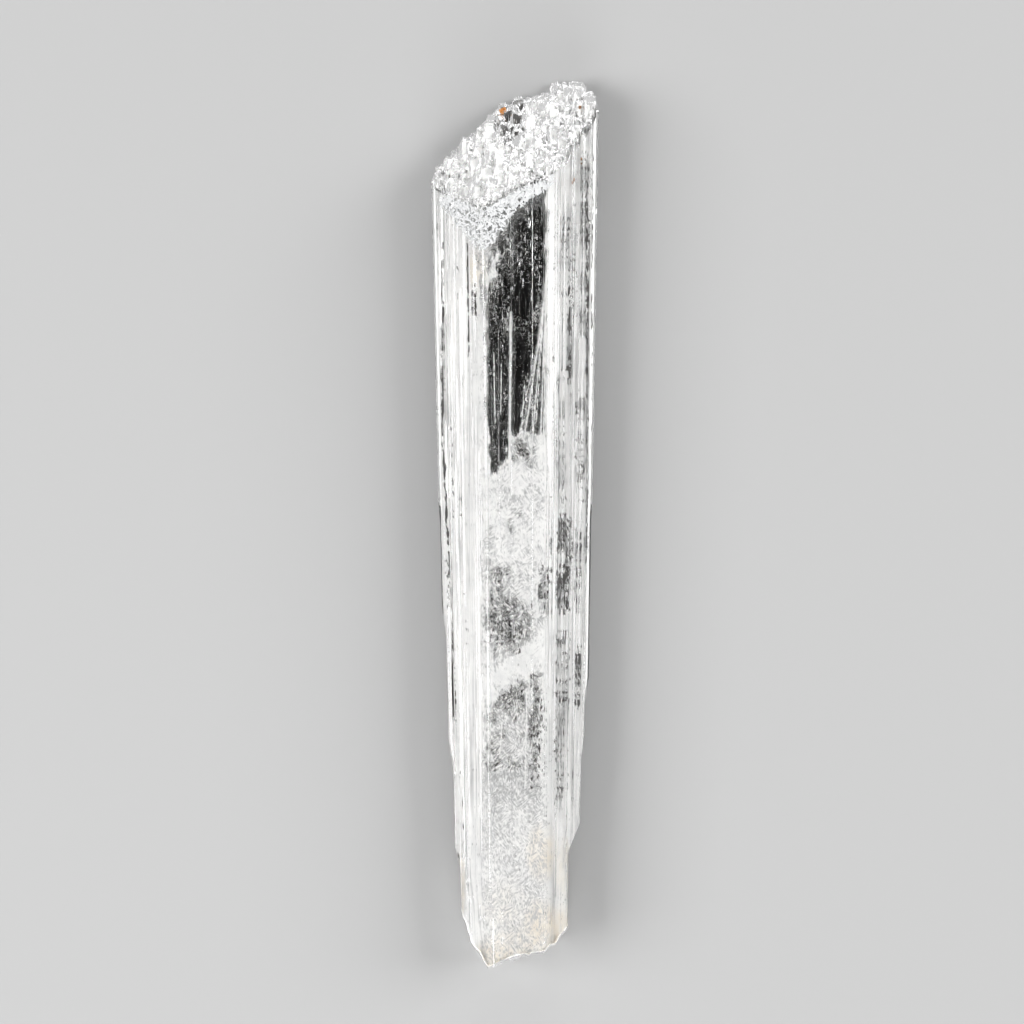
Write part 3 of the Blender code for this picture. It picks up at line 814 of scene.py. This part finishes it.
print("seams:", len(SHADE_SEAMS), "lumps:", len(SHADE_LUMPS))

# %% [markdown]
# ## Veils
# The whiteness could be a cloud that fills the body, but a cloud renders slowly and has no sharp edges. Here
# it is a few thin sheets inside the crystal: one under the front, one deeper in the middle, one over the
# back, one under the crust and one under the break. Each is a closed shell over the cells of a grid that
# the map makes white, and it has real openings where the crystal is clear. Where the map is only partly
# white, the cells go into a second piece whose material is open between its grains.

# %% Shells over kept cells
FLANK_X = 2.75
FLANK_MIDDLE_X = -0.2
FLANK_PER_MM = 0.01
FLANK_SOFT = 0.3
SOLID_FROM = 0.56
OPEN_BELOW = 0.035
SHADE_KEEPS = 1.6
# Painted shade in the crust's valleys: how much whiteness goes, and how dark they turn.
VALLEY_SHADE_GREY = 0.80
VALLEY_SHADE_DARK = 0.52


def shell(name, points, keep, offset, flip):
    """A closed shell: the kept cells, the same cells moved by the offset, and a wall round every opening."""
    rows, columns = points.shape[:2]
    top = np.arange(rows * columns).reshape(rows, columns)
    under = top + rows * columns
    quads = [cells(top)[keep], cells(under)[keep][:, [0, 3, 2, 1]]]
    wide = np.pad(keep, 1)
    # Each kind of wall stands where a kept cell has no neighbour, and runs from one grid point to another.
    walls = (
        (wide[1:-1, 1:] & ~wide[1:-1, :-1], (0, 0), (1, 0)),
        (wide[1:-1, :-1] & ~wide[1:-1, 1:], (1, 0), (0, 0)),
        (wide[1:, 1:-1] & ~wide[:-1, 1:-1], (0, 1), (0, 0)),
        (wide[:-1, 1:-1] & ~wide[1:, 1:-1], (0, 0), (0, 1)),
    )
    for standing, start, end in walls:
        row, column = np.nonzero(standing)
        a = (row + start[0], column + start[1])
        b = (row + end[0], column + end[1])
        quads.append(np.stack([top[a], top[b], under[b], under[a]], axis=-1))
    quads = np.concatenate(quads)
    if flip:
        quads = quads[:, ::-1]
    used, faces = np.unique(quads, return_inverse=True)
    both = np.concatenate([points.reshape(-1, 3), points.reshape(-1, 3) + np.array(offset)])
    return new_piece(name, both[used], faces.reshape(-1, 4)), used % (rows * columns)


def lay_veil(name, points, offset, bend=0.0, less=0.0, cavity_shade=0.0, flip=False):
    """Two pieces of one sheet, the solid cells and the broken ones, with the maps on their points.

    A flank bends the view towards the middle, so a deep sheet is opened beside the windows as well, by bend.
    Less takes whiteness away all over and leaves out the painted shade of the seams and lumps, and
    cavity_shade is painted shade in the sheet's own valleys.
    """
    x, y = points[..., 0], points[..., 1]
    flank = np.clip((np.abs(x - FLANK_MIDDLE_X + FLANK_PER_MM * y) - FLANK_X) / FLANK_SOFT, 0.0, 1.0)
    white = whiteness(x, y)
    if bend:
        white = np.minimum(white, whiteness(x + bend * np.sign(x), y))
    white = np.clip(np.clip(white - less, 0.0, 1.0) - VALLEY_SHADE_GREY * cavity_shade, 0.0, 1.0)
    # Painted shade: the seams and lumps from the map, and the valleys of the crust's sheet.
    dark = np.maximum(painted_shade_map(x, y) * (less == 0.0), VALLEY_SHADE_DARK * cavity_shade)
    maps = {"white": white, "cream": creaminess(x, y), "silk": flank, "dark": dark}
    most = np.maximum(white, SHADE_KEEPS * dark)
    cell = 0.25 * (most[:-1, :-1] + most[:-1, 1:] + most[1:, 1:] + most[1:, :-1])
    made = []
    for part, keep in (("", cell > SOLID_FROM), ("_edge", (cell > OPEN_BELOW) & (cell <= SOLID_FROM))):
        if not keep.any():
            continue
        piece, used = shell(name + part, points, keep, offset, flip)
        for label, values in maps.items():
            attribute = piece.data.attributes.new(label, "FLOAT", "POINT")
            attribute.data.foreach_set("value", values.reshape(-1)[used].astype(np.float32))
        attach(piece, "root")
        print(piece.name, "faces:", len(piece.data.polygons))
        made.append(piece)
    return made


# %% [markdown]
# ## Sheets along the crystal
# The real whiteness has depth: through the front veil one sees the one in the middle, and the back one
# through the clear places. Three sheets at three depths give that depth. Each is a grid over the section,
# carried along the crystal like the body, and stops a little short of both ends.

# %% Sheets along the crystal
SHEET_THICK = 0.03
SHEET_RIM = 0.18
FRONT_DEPTH = 0.50
MIDDLE_DEPTH = 2.4
BACK_DEPTH = 0.45
LOW_STATION = -37.0
WAVE_PER_MM = 0.4


def carry(x, y, z):
    """Section places carried along the crystal to height y."""
    size = taper_scale(y)
    return np.stack([TAPER_X + (x - TAPER_X) * size, y, z * size], axis=-1)


def front_z(x, depth):
    """The front outline over x, less a depth."""
    return np.interp(x, FRONT[1:-1, 0], FRONT[1:-1, 1]) - depth


def back_z(x, height):
    """The back outline over x, plus a height."""
    return np.interp(x, BACK[1:-1, 0], BACK[1:-1, 1]) + height


def sheet_grid(x_range, columns, rows, section_z, wave, below_end, above_break):
    """A grid between both ends of the crystal, over the section places x, with z from the section.

    The wave is a slow rise and fall along the crystal, in millimetres.
    """
    x = np.linspace(*x_range, columns)
    z = section_z(x)
    y_top = end_height(x, z) - below_end
    size = taper_scale(LOW_STATION)
    y_low = rough_break(TAPER_X + (x - TAPER_X) * size, z * size) + above_break
    y = y_low + (y_top - y_low) * np.linspace(0.0, 1.0, rows)[:, None]
    x = np.broadcast_to(x, y.shape)
    x = np.maximum(x, rim_limit(LEFT_RIMS, y) + SHEET_RIM)
    x = np.minimum(x, rim_limit(RIGHT_RIMS, y) - SHEET_RIM)
    return carry(x, y, z + wave * np.sin(WAVE_PER_MM * y + x))


near = sheet_grid(
    (-7.32, 7.22), columns=178, rows=270, section_z=lambda x: front_z(x, FRONT_DEPTH),
    wave=0.0, below_end=0.12, above_break=0.16,
)
veils = lay_veil("veil_front", near, (0.0, 0.0, -SHEET_THICK))
far = sheet_grid(
    (-6.9, 6.8), columns=120, rows=140, section_z=lambda x: back_z(x, BACK_DEPTH),
    wave=0.0, below_end=0.35, above_break=0.45,
)
veils += lay_veil("veil_back", far, (0.0, 0.0, -SHEET_THICK), bend=1.6, less=0.12)
deep = sheet_grid(
    (-3.0, 3.1), columns=64, rows=130, section_z=lambda x: front_z(x, MIDDLE_DEPTH),
    wave=0.5, below_end=1.0, above_break=1.2,
)
veils += lay_veil("veil_middle", deep, (0.0, 0.0, -SHEET_THICK), less=0.25)

# %% [markdown]
# ## Under the crust and the break
# The small crystals of the crust are white inside too. Their sheet follows the crust a little below its
# surface: each point takes the lowest height round it, so that the sheet stays under the steep walls. Shade
# is painted on it, grey and darker, in the valleys and along the borders where one crystal hides the next.

# %% Sheets across the ends
CRUST_BELOW = 0.10
VALLEY_ROUND = 4
VALLEY_FROM = 0.03
VALLEY_DEEP = 0.24
OUTLINE_SHADE = 0.62
TIP_INSET = 0.12
TIP_STATION = -37.5


def section_grid(x_range, columns, rows, low_inset, high_inset):
    """Places over the section, from just inside the back to just inside the front."""
    x = np.linspace(*x_range, columns)
    low, high = back_z(x, low_inset), front_z(x, high_inset)
    z = low + (high - low) * np.linspace(0.0, 1.0, rows)[:, None]
    return np.broadcast_to(x, z.shape), z


def around(values, reach, gather):
    """The values in a square of grid points round each point, gathered into one, such as their mean."""
    padded = np.pad(values, reach, mode="edge")
    rows, columns = values.shape
    shifts = range(2 * reach + 1)
    return gather([padded[i:i + rows, j:j + columns] for i in shifts for j in shifts], axis=0)


x, z = section_grid((-7.15, 7.05), columns=214, rows=112, low_inset=0.22, high_inset=0.20)
height = crust_height(x, z, crystals)
# Painted shade: the valleys of the crust and the borders between its crystals.
valley_shade = np.clip((around(height, VALLEY_ROUND, np.mean) - height - VALLEY_FROM) / VALLEY_DEEP, 0.0, 1.0)
owner = crust_owner(x, z, crystals)
border_shade = (around(owner, 1, np.max) != owner).astype(float)
valley_shade = np.maximum(valley_shade, OUTLINE_SHADE * border_shade)
under_crust = carry(x, around(height, 1, np.min) - CRUST_BELOW, z)
veils += lay_veil("veil_crust", under_crust, (0.0, -SHEET_THICK, 0.0), cavity_shade=valley_shade, flip=True)

x, z = section_grid((-4.6, 4.8), columns=90, rows=70, low_inset=0.25, high_inset=0.15)
scale = taper_scale(TIP_STATION)
x, z = TAPER_X + (x - TAPER_X) * scale, z * scale
under_break = np.stack([x, around(rough_break(x, z), 2, np.max) + TIP_INSET, z], axis=-1)
veils += lay_veil("veil_tip", under_break, (0.0, SHEET_THICK, 0.0))

# %% [markdown]
# ## The finish of the veils
# A veil is matt and white. Its grain is short strokes that cross each other in the milky middle, and long
# fibres on the flanks. Where the grain beats the whiteness the veil is grey, or open on the broken pieces.
# The grain could be a painted picture, but one worked out from noise needs no file and is sharp from near:
# noise that is drawn out one way looks like strokes, and drawn out further it looks like fibres.

# %% Node helper


class Nodes:
    """Short ways to add the nodes of one material."""

    def __init__(self, name):
        self.material = bpy.data.materials.new(name)
        self.material.use_nodes = True
        self.tree = self.material.node_tree
        self.shader = self.tree.nodes["Principled BSDF"]
        self.place = self.tree.nodes.new("ShaderNodeTexCoord").outputs["Object"]

    def join(self, value, socket):
        """A number sets the socket, and an output is linked to it."""
        if isinstance(value, (int, float, tuple)):
            socket.default_value = value
        else:
            self.tree.links.new(value, socket)

    def attribute(self, label):
        """The number that the mesh's points carry under this name."""
        node = self.tree.nodes.new("ShaderNodeAttribute")
        node.attribute_name = label
        return node.outputs["Fac"]

    def math(self, kind, a, b=0.0, c=0.0, clamp=False):
        """One sum of up to three numbers."""
        node = self.tree.nodes.new("ShaderNodeMath")
        node.operation = kind
        node.use_clamp = clamp
        for socket, value in zip(node.inputs, (a, b, c)):
            self.join(value, socket)
        return node.outputs[0]

    def noise(self, scale, stretch=1.0, turn=0.0, detail=2.0, rough=0.5):
        """Noise of so many cells a metre, drawn out along its own Y by the stretch, and turned."""
        mapping = self.tree.nodes.new("ShaderNodeMapping")
        mapping.vector_type = "TEXTURE"
        mapping.inputs["Rotation"].default_value = (0.0, 0.0, math.radians(turn))
        mapping.inputs["Scale"].default_value = (1.0, stretch, 1.0)
        texture = self.tree.nodes.new("ShaderNodeTexNoise")
        texture.inputs["Scale"].default_value = scale
        texture.inputs["Detail"].default_value = detail
        texture.inputs["Roughness"].default_value = rough
        self.tree.links.new(self.place, mapping.inputs["Vector"])
        self.tree.links.new(mapping.outputs["Vector"], texture.inputs["Vector"])
        return texture.outputs["Fac"]

    def blend(self, factor, a, b, colour=False):
        """The number or colour a, turning to b as the factor goes from nought to one."""
        node = self.tree.nodes.new("ShaderNodeMix")
        colour = colour or isinstance(b, tuple)
        node.data_type = "RGBA" if colour else "FLOAT"
        self.join(factor, node.inputs["Factor"])
        self.join(a, node.inputs[6 if colour else 2])
        self.join(b, node.inputs[7 if colour else 3])
        return node.outputs[2 if colour else 0]

    def steps(self, value, low, high):
        """Nought at low, one at high, and straight in between."""
        slope = 1.0 / (high - low)
        return self.math("MULTIPLY_ADD", value, slope, -low * slope, clamp=True)

    def thin_lines(self, pattern, half):
        """One where a noise passes its middle value, falling to nought as it gets half away from it."""
        off = self.math("ABSOLUTE", self.math("SUBTRACT", pattern, 0.5))
        return self.steps(off, half, 0.0)


# %% Veil material
SHADED_WHITE = (0.85, 0.85, 0.84, 1.0)
SILK_WHITE = (0.985, 0.98, 0.965, 1.0)
LINE_GREY = (0.20, 0.20, 0.205, 1.0)
STAIN_CREAM = (0.90, 0.79, 0.62, 1.0)
DEEP_GREY = (0.32, 0.32, 0.32, 1.0)
PALE_GREY = (0.60, 0.60, 0.595, 1.0)
# Painted shade: the black of the seams, lumps and crust valleys.
PAINTED_SHADE_BLACK = (0.035, 0.03, 0.026, 1.0)
VEIL_ROUGHNESS = 0.6
# Shares of the grain, and of the fibres in the silk of the flanks.
STROKES, EVEN_GRAIN = 0.62, 0.38
FIBRES, SILK_GRAIN = 0.7, 0.3
# From nought to full: the grain's spread, its cover where the whiteness beats it, the painted shade, and the
# tone.
GRAIN_SPREAD = (0.30, 0.66)
COVER = (-0.16, 0.26)
SEAM_EDGE = (-0.10, 0.10)
TONE = (1.22, 0.86)
# How grey the fine lines are: on the middle, and how much more on the flanks.
LINES_GREY, LINES_GREYER = 0.10, 0.45
# Below these heights, in metres, the grey between the grains turns pale.
PALE_FROM_Y, PALE_TO_Y, PALE_MOST = -0.014, -0.030, 0.75


def veil_material(name, is_open):
    """White where the map beats the grain, painted shade in the seams, lumps and valleys, and grey or open
    elsewhere.
    """
    n = Nodes(name)
    # Three families of short strokes that take turns, over a grain that goes no way in particular.
    rising = n.noise(9200, stretch=3.6, turn=34.0)
    falling = n.noise(8800, stretch=4.0, turn=-52.0)
    upright = n.noise(9400, stretch=3.2, turn=-8.0)
    strokes = n.blend(n.steps(n.noise(800), 0.44, 0.56), rising, falling)
    strokes = n.blend(n.steps(n.noise(640, turn=50.0), 0.50, 0.58), strokes, upright)
    even = n.noise(3600, stretch=1.3, turn=15.0, detail=4.0, rough=0.75)
    grain = n.math("MULTIPLY_ADD", strokes, STROKES, n.math("MULTIPLY", even, EVEN_GRAIN))
    fibres = n.noise(4600, stretch=26.0, detail=3.0, rough=0.6)
    silky = n.math("MULTIPLY_ADD", fibres, FIBRES, n.math("MULTIPLY", grain, SILK_GRAIN))
    texture = n.blend(n.attribute("silk"), grain, silky)
    spread = n.steps(texture, *GRAIN_SPREAD)
    beat = n.math("SUBTRACT", n.attribute("white"), spread)
    cover = n.steps(beat, *COVER)
    # Painted shade: the veil turns black where the shade map beats these dots.
    dots = n.steps(n.noise(4600, stretch=2.6, turn=4.0, detail=3.0, rough=0.7), 0.32, 0.68)
    dark = n.steps(n.math("SUBTRACT", n.attribute("dark"), dots), *SEAM_EDGE)
    # Thin grey lines along the crystal come and go.
    fine = n.thin_lines(n.noise(2300, stretch=55.0, turn=0.4, detail=1.0), 0.05)
    wide = n.thin_lines(n.noise(900, stretch=70.0, turn=-0.4, detail=1.0), 0.035)
    come_and_go = n.steps(n.noise(700, stretch=9.0, detail=3.0, rough=0.6), 0.42, 0.62)
    lines = n.math("MULTIPLY", n.math("MAXIMUM", fine, wide), come_and_go)
    greyness = n.math("MULTIPLY_ADD", n.attribute("silk"), LINES_GREYER, LINES_GREY)
    lines = n.math("MULTIPLY", lines, greyness)

    patches = n.noise(700, stretch=1.5, turn=20.0, detail=3.0, rough=0.7)
    tone = n.steps(n.math("ADD", texture, patches), *TONE)
    white = n.blend(tone, SHADED_WHITE, SILK_WHITE)
    white = n.blend(lines, white, LINE_GREY)
    colour = n.blend(n.attribute("cream"), white, STAIN_CREAM)
    if is_open:
        n.join(n.math("MAXIMUM", cover, dark), n.shader.inputs["Alpha"])
    else:
        apart = n.tree.nodes.new("ShaderNodeSeparateXYZ")
        n.join(n.place, apart.inputs[0])
        low = n.math("MULTIPLY", n.steps(apart.outputs["Y"], PALE_FROM_Y, PALE_TO_Y), PALE_MOST)
        pale = n.math("MAXIMUM", low, n.steps(n.attribute("white"), 0.46, 0.88))
        colour = n.blend(cover, n.blend(pale, DEEP_GREY, PALE_GREY), colour, colour=True)
    n.join(n.blend(dark, colour, PAINTED_SHADE_BLACK), n.shader.inputs["Base Color"])
    n.shader.inputs["Roughness"].default_value = VEIL_ROUGHNESS
    return n.material


solid_veil = veil_material("silky veil", False)
broken_veil = veil_material("broken veil", True)
for piece in veils:
    piece.data.materials.append(broken_veil if piece.name.endswith("_edge") else solid_veil)
print("veils:", [piece.name for piece in veils])

# %% [markdown]
# ## The clear mineral
# The body is plain clear glass with the mineral's own bending of light. Its outside is not perfect: fine
# lines run along it, and some places are a little matt.

# %% Clear material
MINERAL_IOR = 1.535
SMOOTHEST, MATTEST = 0.015, 0.075
LINES_STRENGTH = 0.12
LINES_DEEP = 0.00004

n = Nodes("clear mineral")
matt = n.noise(900, stretch=6.0, detail=3.0, rough=0.6)
n.join(n.blend(matt, SMOOTHEST, MATTEST), n.shader.inputs["Roughness"])
bump = n.tree.nodes.new("ShaderNodeBump")
bump.inputs["Strength"].default_value = LINES_STRENGTH
bump.inputs["Distance"].default_value = LINES_DEEP
n.join(n.noise(5200, stretch=12.0, rough=0.6), bump.inputs["Height"])
n.join(bump.outputs["Normal"], n.shader.inputs["Normal"])
n.shader.inputs["Base Color"].default_value = (1.0, 1.0, 1.0, 1.0)
n.shader.inputs["IOR"].default_value = MINERAL_IOR
n.shader.inputs["Transmission Weight"].default_value = 1.0
body.data.materials.append(n.material)
print("the body is", n.material.name)

# %% [markdown]
# ## Specks
# A few rusty specks sit on the crust and on the right flank. Each is a small uneven lump, a ball whose
# radius changes from point to point, half sunk into the surface under it.

# %% Specks on the surface
# Each is (x, y, radius, how rusty).
SPECKS = [
    (-1.20, 37.25, 0.24, 1.0), (-0.95, 37.45, 0.15, 0.9), (5.85, 37.3, 0.14, 0.2), (5.95, 36.9, 0.09, 0.1),
    (5.9, 32.5, 0.12, 0.2), (5.2, 30.6, 0.14, 0.3), (5.05, 30.3, 0.09, 0.4), (5.95, 32.1, 0.08, 0.1),
]
LUMP_RINGS = 9
LUMP_SPOKES = 13
LUMP_UNEVEN = (0.7, 1.2)
LUMP_LONG, LUMP_HIGH = 1.2, 0.8
RUST = (0.52, 0.20, 0.04, 1.0)
BROWN = (0.22, 0.13, 0.07, 1.0)
RUST_ROUGHNESS = 0.7
SEARCH_Z = (0.3, 8.0)
SEARCH_STEPS = 400


def surface_z(x, y):
    """The height of the surface that is seen at (x, y): the crust's, or the front's below the crust."""
    heights = np.linspace(*SEARCH_Z, SEARCH_STEPS)
    seen = heights[crust_height(np.full(SEARCH_STEPS, x), heights, crystals) >= y]
    return min(seen.max() if len(seen) else SEARCH_Z[0], float(front_z(x, 0.0)))


def lump(x, y, radius, rng):
    """A ball on a grid of latitudes and longitudes, with an uneven radius that is one at each pole."""
    up = np.linspace(0.0, math.pi, LUMP_RINGS)[:, None]
    turn = np.linspace(0.0, 2.0 * math.pi, LUMP_SPOKES)[None, :]
    uneven = rng.uniform(*LUMP_UNEVEN, (LUMP_RINGS, LUMP_SPOKES))
    uneven[0] = uneven[-1] = 1.0
    uneven[:, -1] = uneven[:, 0]
    size = radius * uneven
    across, along = np.sin(up) * np.cos(turn), LUMP_LONG * np.sin(up) * np.sin(turn)
    over = LUMP_HIGH * np.cos(up) + 0.0 * turn
    return np.array([x, y, surface_z(x, y)]) + size[..., None] * np.stack([across, along, over], axis=-1)


rng = np.random.default_rng(SEED)
specks = weld([(lump(x, y, radius, rng), True) for x, y, radius, _ in SPECKS], "rusty_specks")
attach(specks, "root")
places = np.empty(3 * len(specks.data.vertices))
specks.data.vertices.foreach_get("co", places)
places = places.reshape(-1, 3) / MM
nearest = np.argmin([np.hypot(places[:, 0] - x, places[:, 1] - y) for x, y, _, _ in SPECKS], axis=0)
rusty = specks.data.attributes.new("rusty", "FLOAT", "POINT")
rusty.data.foreach_set("value", np.array(SPECKS)[nearest, 3].astype(np.float32))
n = Nodes("rusty stain")
rust = n.steps(n.noise(5000, detail=3.0, rough=0.6), 0.25, 0.5)
uneven = n.math("MULTIPLY", n.attribute("rusty"), rust)
n.join(n.blend(uneven, BROWN, RUST), n.shader.inputs["Base Color"])
n.shader.inputs["Roughness"].default_value = RUST_ROUGHNESS
specks.data.materials.append(n.material)
print("specks:", len(SPECKS))

# %% [markdown]
# ## Frost under the crust
# The crust doesn't end in a clean line. Slender white crystals lie across one another on the front face just
# under it, most of them close to the edge. They could be copies of one crystal, scattered over the face.
# Worked out together as one array, they are a single small mesh, and each lies along the slope under it.

# %% Slender crystals on the front face
FROST_COUNT = 900
FROST_LONG = (0.24, 0.62)
FROST_WIDE = (0.08, 0.19)
FROST_SUNK = 0.01
FROST_X = [-6.6, -5.2, -3.2, -1.4, -0.6, 0.5, 1.4, 3.4]
FROST_REACH = [0.9, 2.2, 3.6, 3.0, 2.0, 1.6, 1.0, 0.7]
FROST_EVERYWHERE = 0.4
FROST_ABOVE_EDGE = 0.25
FROST_CROWDING = 1.3
FROST_TURN = 1.35
FROST_TILT = 0.2
FROST_STATION = 29.0
SHOULDER = 0.62
# The frost lies on the blades, a little higher on the flanks, where ribs and lines lie on them as well.
ON_BLADES, MORE_ON_FLANK, ON_LINES = 0.9, 0.4, 0.07
SLOPE_STEP = 0.05


def on_front(x, y):
    """The height of the front face under (x, y), and its slope across the crystal."""
    size = taper_scale(y)
    section_x = TAPER_X + (x - TAPER_X) / size
    flank, shown = how_shown(section_x, y)
    proud = blade_relief(section_x, y, FRONT_BLADES) * shown * (ON_BLADES + MORE_ON_FLANK * flank)
    z = front_z(section_x, 0.0) + (proud + ON_LINES * flank)
    rise = front_z(section_x + SLOPE_STEP, 0.0) - front_z(section_x - SLOPE_STEP, 0.0)
    return z * size, rise / (2.0 * SLOPE_STEP)


def prisms(centre, along, length, width):
    """Six-sided prisms with two points: a first tip, a ring at each shoulder, and a second tip."""
    along = along / np.linalg.norm(along, axis=1, keepdims=True)
    side = np.cross(along, np.array([0.0, 0.0, 1.0]))
    side = side / np.linalg.norm(side, axis=1, keepdims=True)
    over = np.cross(side, along)
    turn = np.arange(6) * math.pi / 3.0
    ring = np.cos(turn)[None, :, None] * side[:, None] + np.sin(turn)[None, :, None] * over[:, None]
    ring = ring * (0.5 * width)[:, None, None]
    half = (0.5 * length)[:, None] * along
    points = np.concatenate([
        (centre - half)[:, None], centre[:, None] - SHOULDER * half[:, None] + ring,
        centre[:, None] + SHOULDER * half[:, None] + ring, (centre + half)[:, None]], axis=1)
    step = np.arange(6)
    after = (step + 1) % 6
    low, high = 1 + step, 7 + step
    faces = np.concatenate([
        np.stack([0 * step, 1 + after, low], axis=1), np.stack([low, 1 + after, 7 + after], axis=1),
        np.stack([low, 7 + after, high], axis=1), np.stack([high, 7 + after, 13 + 0 * step], axis=1)])
    faces = faces[None] + 14 * np.arange(len(centre))[:, None, None]
    return points.reshape(-1, 3), faces.reshape(-1, 3)


# %% Lay the frost
rng = np.random.default_rng(SEED + 1)
place_x = np.linspace(FROST_X[0], FROST_X[-1], 200)
share = np.cumsum(np.interp(place_x, FROST_X, FROST_REACH) + FROST_EVERYWHERE)
frost_x = np.interp(rng.random(FROST_COUNT), share / share[-1], place_x)
size = taper_scale(FROST_STATION)
edge_x = TAPER_X + (frost_x - TAPER_X) / size
edge_y = end_height(edge_x, front_z(edge_x, 0.0))
reach = np.interp(frost_x, FROST_X, FROST_REACH)
frost_y = edge_y + FROST_ABOVE_EDGE - reach * rng.random(FROST_COUNT) ** FROST_CROWDING
frost_z, slope = on_front(frost_x, frost_y)
angle = rng.uniform(-FROST_TURN, FROST_TURN, FROST_COUNT) + 0.5 * math.pi
rise = slope * np.cos(angle) + rng.uniform(-FROST_TILT, FROST_TILT, FROST_COUNT)
along = np.stack([np.cos(angle), np.sin(angle), rise], axis=1)
centre = np.stack([frost_x, frost_y, frost_z - FROST_SUNK], axis=1)
frost_long = rng.uniform(*FROST_LONG, FROST_COUNT)
frost_wide = rng.uniform(*FROST_WIDE, FROST_COUNT)
frost = new_piece("frost", *prisms(centre, along, frost_long, frost_wide))
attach(frost, "root")
print("frost faces:", len(frost.data.polygons))

# %% Frost material
FROST_GREY = (0.34, 0.35, 0.36, 1.0)
FROST_WHITE = (0.88, 0.88, 0.88, 1.0)
FROST_ROUGHNESS = 0.22

n = Nodes("glassy frost")
grains = n.noise(4200, detail=3.0, rough=0.7)
n.join(n.blend(grains, FROST_GREY, FROST_WHITE), n.shader.inputs["Base Color"])
n.shader.inputs["Roughness"].default_value = FROST_ROUGHNESS
frost.data.materials.append(n.material)
print("the frost is", n.material.name)

# %% [markdown]
# ## Studio
# The camera looks straight down on the front from about a third of a metre, with a long lens. One pixel is
# 0.09 mm, and the middle of the crystal is a little off the middle of the picture. The floor is a plain pale
# sheet just under the crystal.

# %% Camera
PIXEL = 0.09
LENS = 120.0
SENSOR = 36.0
VIEW_Z = 3.5
IMAGE_SIDE = 1024
CENTRE_PIXEL = (515.0, 522.5)
distance = IMAGE_SIDE * PIXEL / SENSOR * LENS

camera = bpy.data.objects.new("camera", bpy.data.cameras.new("camera"))
camera.data.lens = LENS
camera.data.sensor_width = SENSOR
camera.data.clip_start = 0.01
camera_x = (IMAGE_SIDE / 2 - CENTRE_PIXEL[0]) * PIXEL
camera_y = (CENTRE_PIXEL[1] - IMAGE_SIDE / 2) * PIXEL
camera.location = (camera_x * MM, camera_y * MM, (VIEW_Z + distance) * MM)
bpy.context.scene.collection.objects.link(camera)
bpy.context.scene.camera = camera
print("camera at a height of", round(VIEW_Z + distance, 1), "mm")

# %% Floor
FLOOR_HALF = 2
FLOOR_Z = -0.00002
FLOOR_GREY = (0.36, 0.36, 0.36, 1.0)
FLOOR_ROUGHNESS = 0.9

floor_mesh = bpy.data.meshes.new("floor")
corners = [(-1, -1), (1, -1), (1, 1), (-1, 1)]
floor_mesh.from_pydata([(FLOOR_HALF * x, FLOOR_HALF * y, 0) for x, y in corners], [], [(0, 1, 2, 3)])
floor = bpy.data.objects.new("floor", floor_mesh)
floor.location.z = FLOOR_Z
bpy.context.scene.collection.objects.link(floor)
floor_material = bpy.data.materials.new("floor")
floor_material.use_nodes = True
floor_shader = floor_material.node_tree.nodes["Principled BSDF"]
floor_shader.inputs["Base Color"].default_value = FLOOR_GREY
floor_shader.inputs["Roughness"].default_value = FLOOR_ROUGHNESS
floor_mesh.materials.append(floor_material)
print("floor side in metres:", 2 * FLOOR_HALF)

# %% [markdown]
# ## Light
# Light comes from a pale horizon and four soft boxes round the crystal, and straight above it is dark. The
# fine grooves of the back send that darkness back up to the camera, so a clear place looks dark although
# the floor is pale. The white veils take the light of the horizon and the boxes and stay bright.

# %% World
PALE_BELOW = 0.72
DARK_ABOVE = 0.88
HORIZON = (1.0, 1.0, 1.0, 1.0)
OVERHEAD = (0.006, 0.006, 0.006, 1.0)
WORLD_STRENGTH = 0.62

world = bpy.data.worlds.new("studio")
bpy.context.scene.world = world
world.use_nodes = True
nodes, links = world.node_tree.nodes, world.node_tree.links
background = nodes["Background"]
place = nodes.new("ShaderNodeTexCoord")
split = nodes.new("ShaderNodeSeparateXYZ")
ramp = nodes.new("ShaderNodeValToRGB")
links.new(place.outputs["Generated"], split.inputs["Vector"])
links.new(split.outputs["Z"], ramp.inputs["Fac"])
links.new(ramp.outputs["Color"], background.inputs["Color"])
stops = ((PALE_BELOW, HORIZON), (DARK_ABOVE, OVERHEAD))
for element, (position, colour) in zip(ramp.color_ramp.elements, stops):
    element.position = position
    element.color = colour
background.inputs["Strength"].default_value = WORLD_STRENGTH
bpy.context.scene.view_settings.view_transform = "Standard"
cycles = bpy.context.scene.cycles
cycles.transparent_max_bounces = 32
cycles.max_bounces = 20
cycles.diffuse_bounces = 8
cycles.glossy_bounces = 12
cycles.transmission_bounces = 20
print("world strength:", WORLD_STRENGTH)

# %% Soft boxes
# Each is (name, place, the place it faces, side in metres, watts).
SOFTBOXES = [
    ("left softbox", (-0.42, -0.05, 0.36), (0, 0, 0), 0.34, 3.15),
    ("right softbox", (0.45, 0.10, 0.30), (0, 0, 0), 0.34, 2.6),
    ("top softbox", (0.05, 0.50, 0.22), (0, 0.03, 0), 0.30, 0.6),
    ("low softbox", (0.0, -0.48, 0.20), (0, -0.03, 0), 0.30, 1.8),
]

for name, place, target, size, watts in SOFTBOXES:
    light = bpy.data.lights.new(name, "AREA")
    light.shape = "SQUARE"
    light.size = size
    light.energy = watts
    made = bpy.data.objects.new(name, light)
    made.location = place
    made.visible_camera = False
    way = Vector(target) - Vector(place)
    made.rotation_euler = way.to_track_quat("-Z", "Y").to_euler()
    bpy.context.scene.collection.objects.link(made)
print("lights:", len(SOFTBOXES))
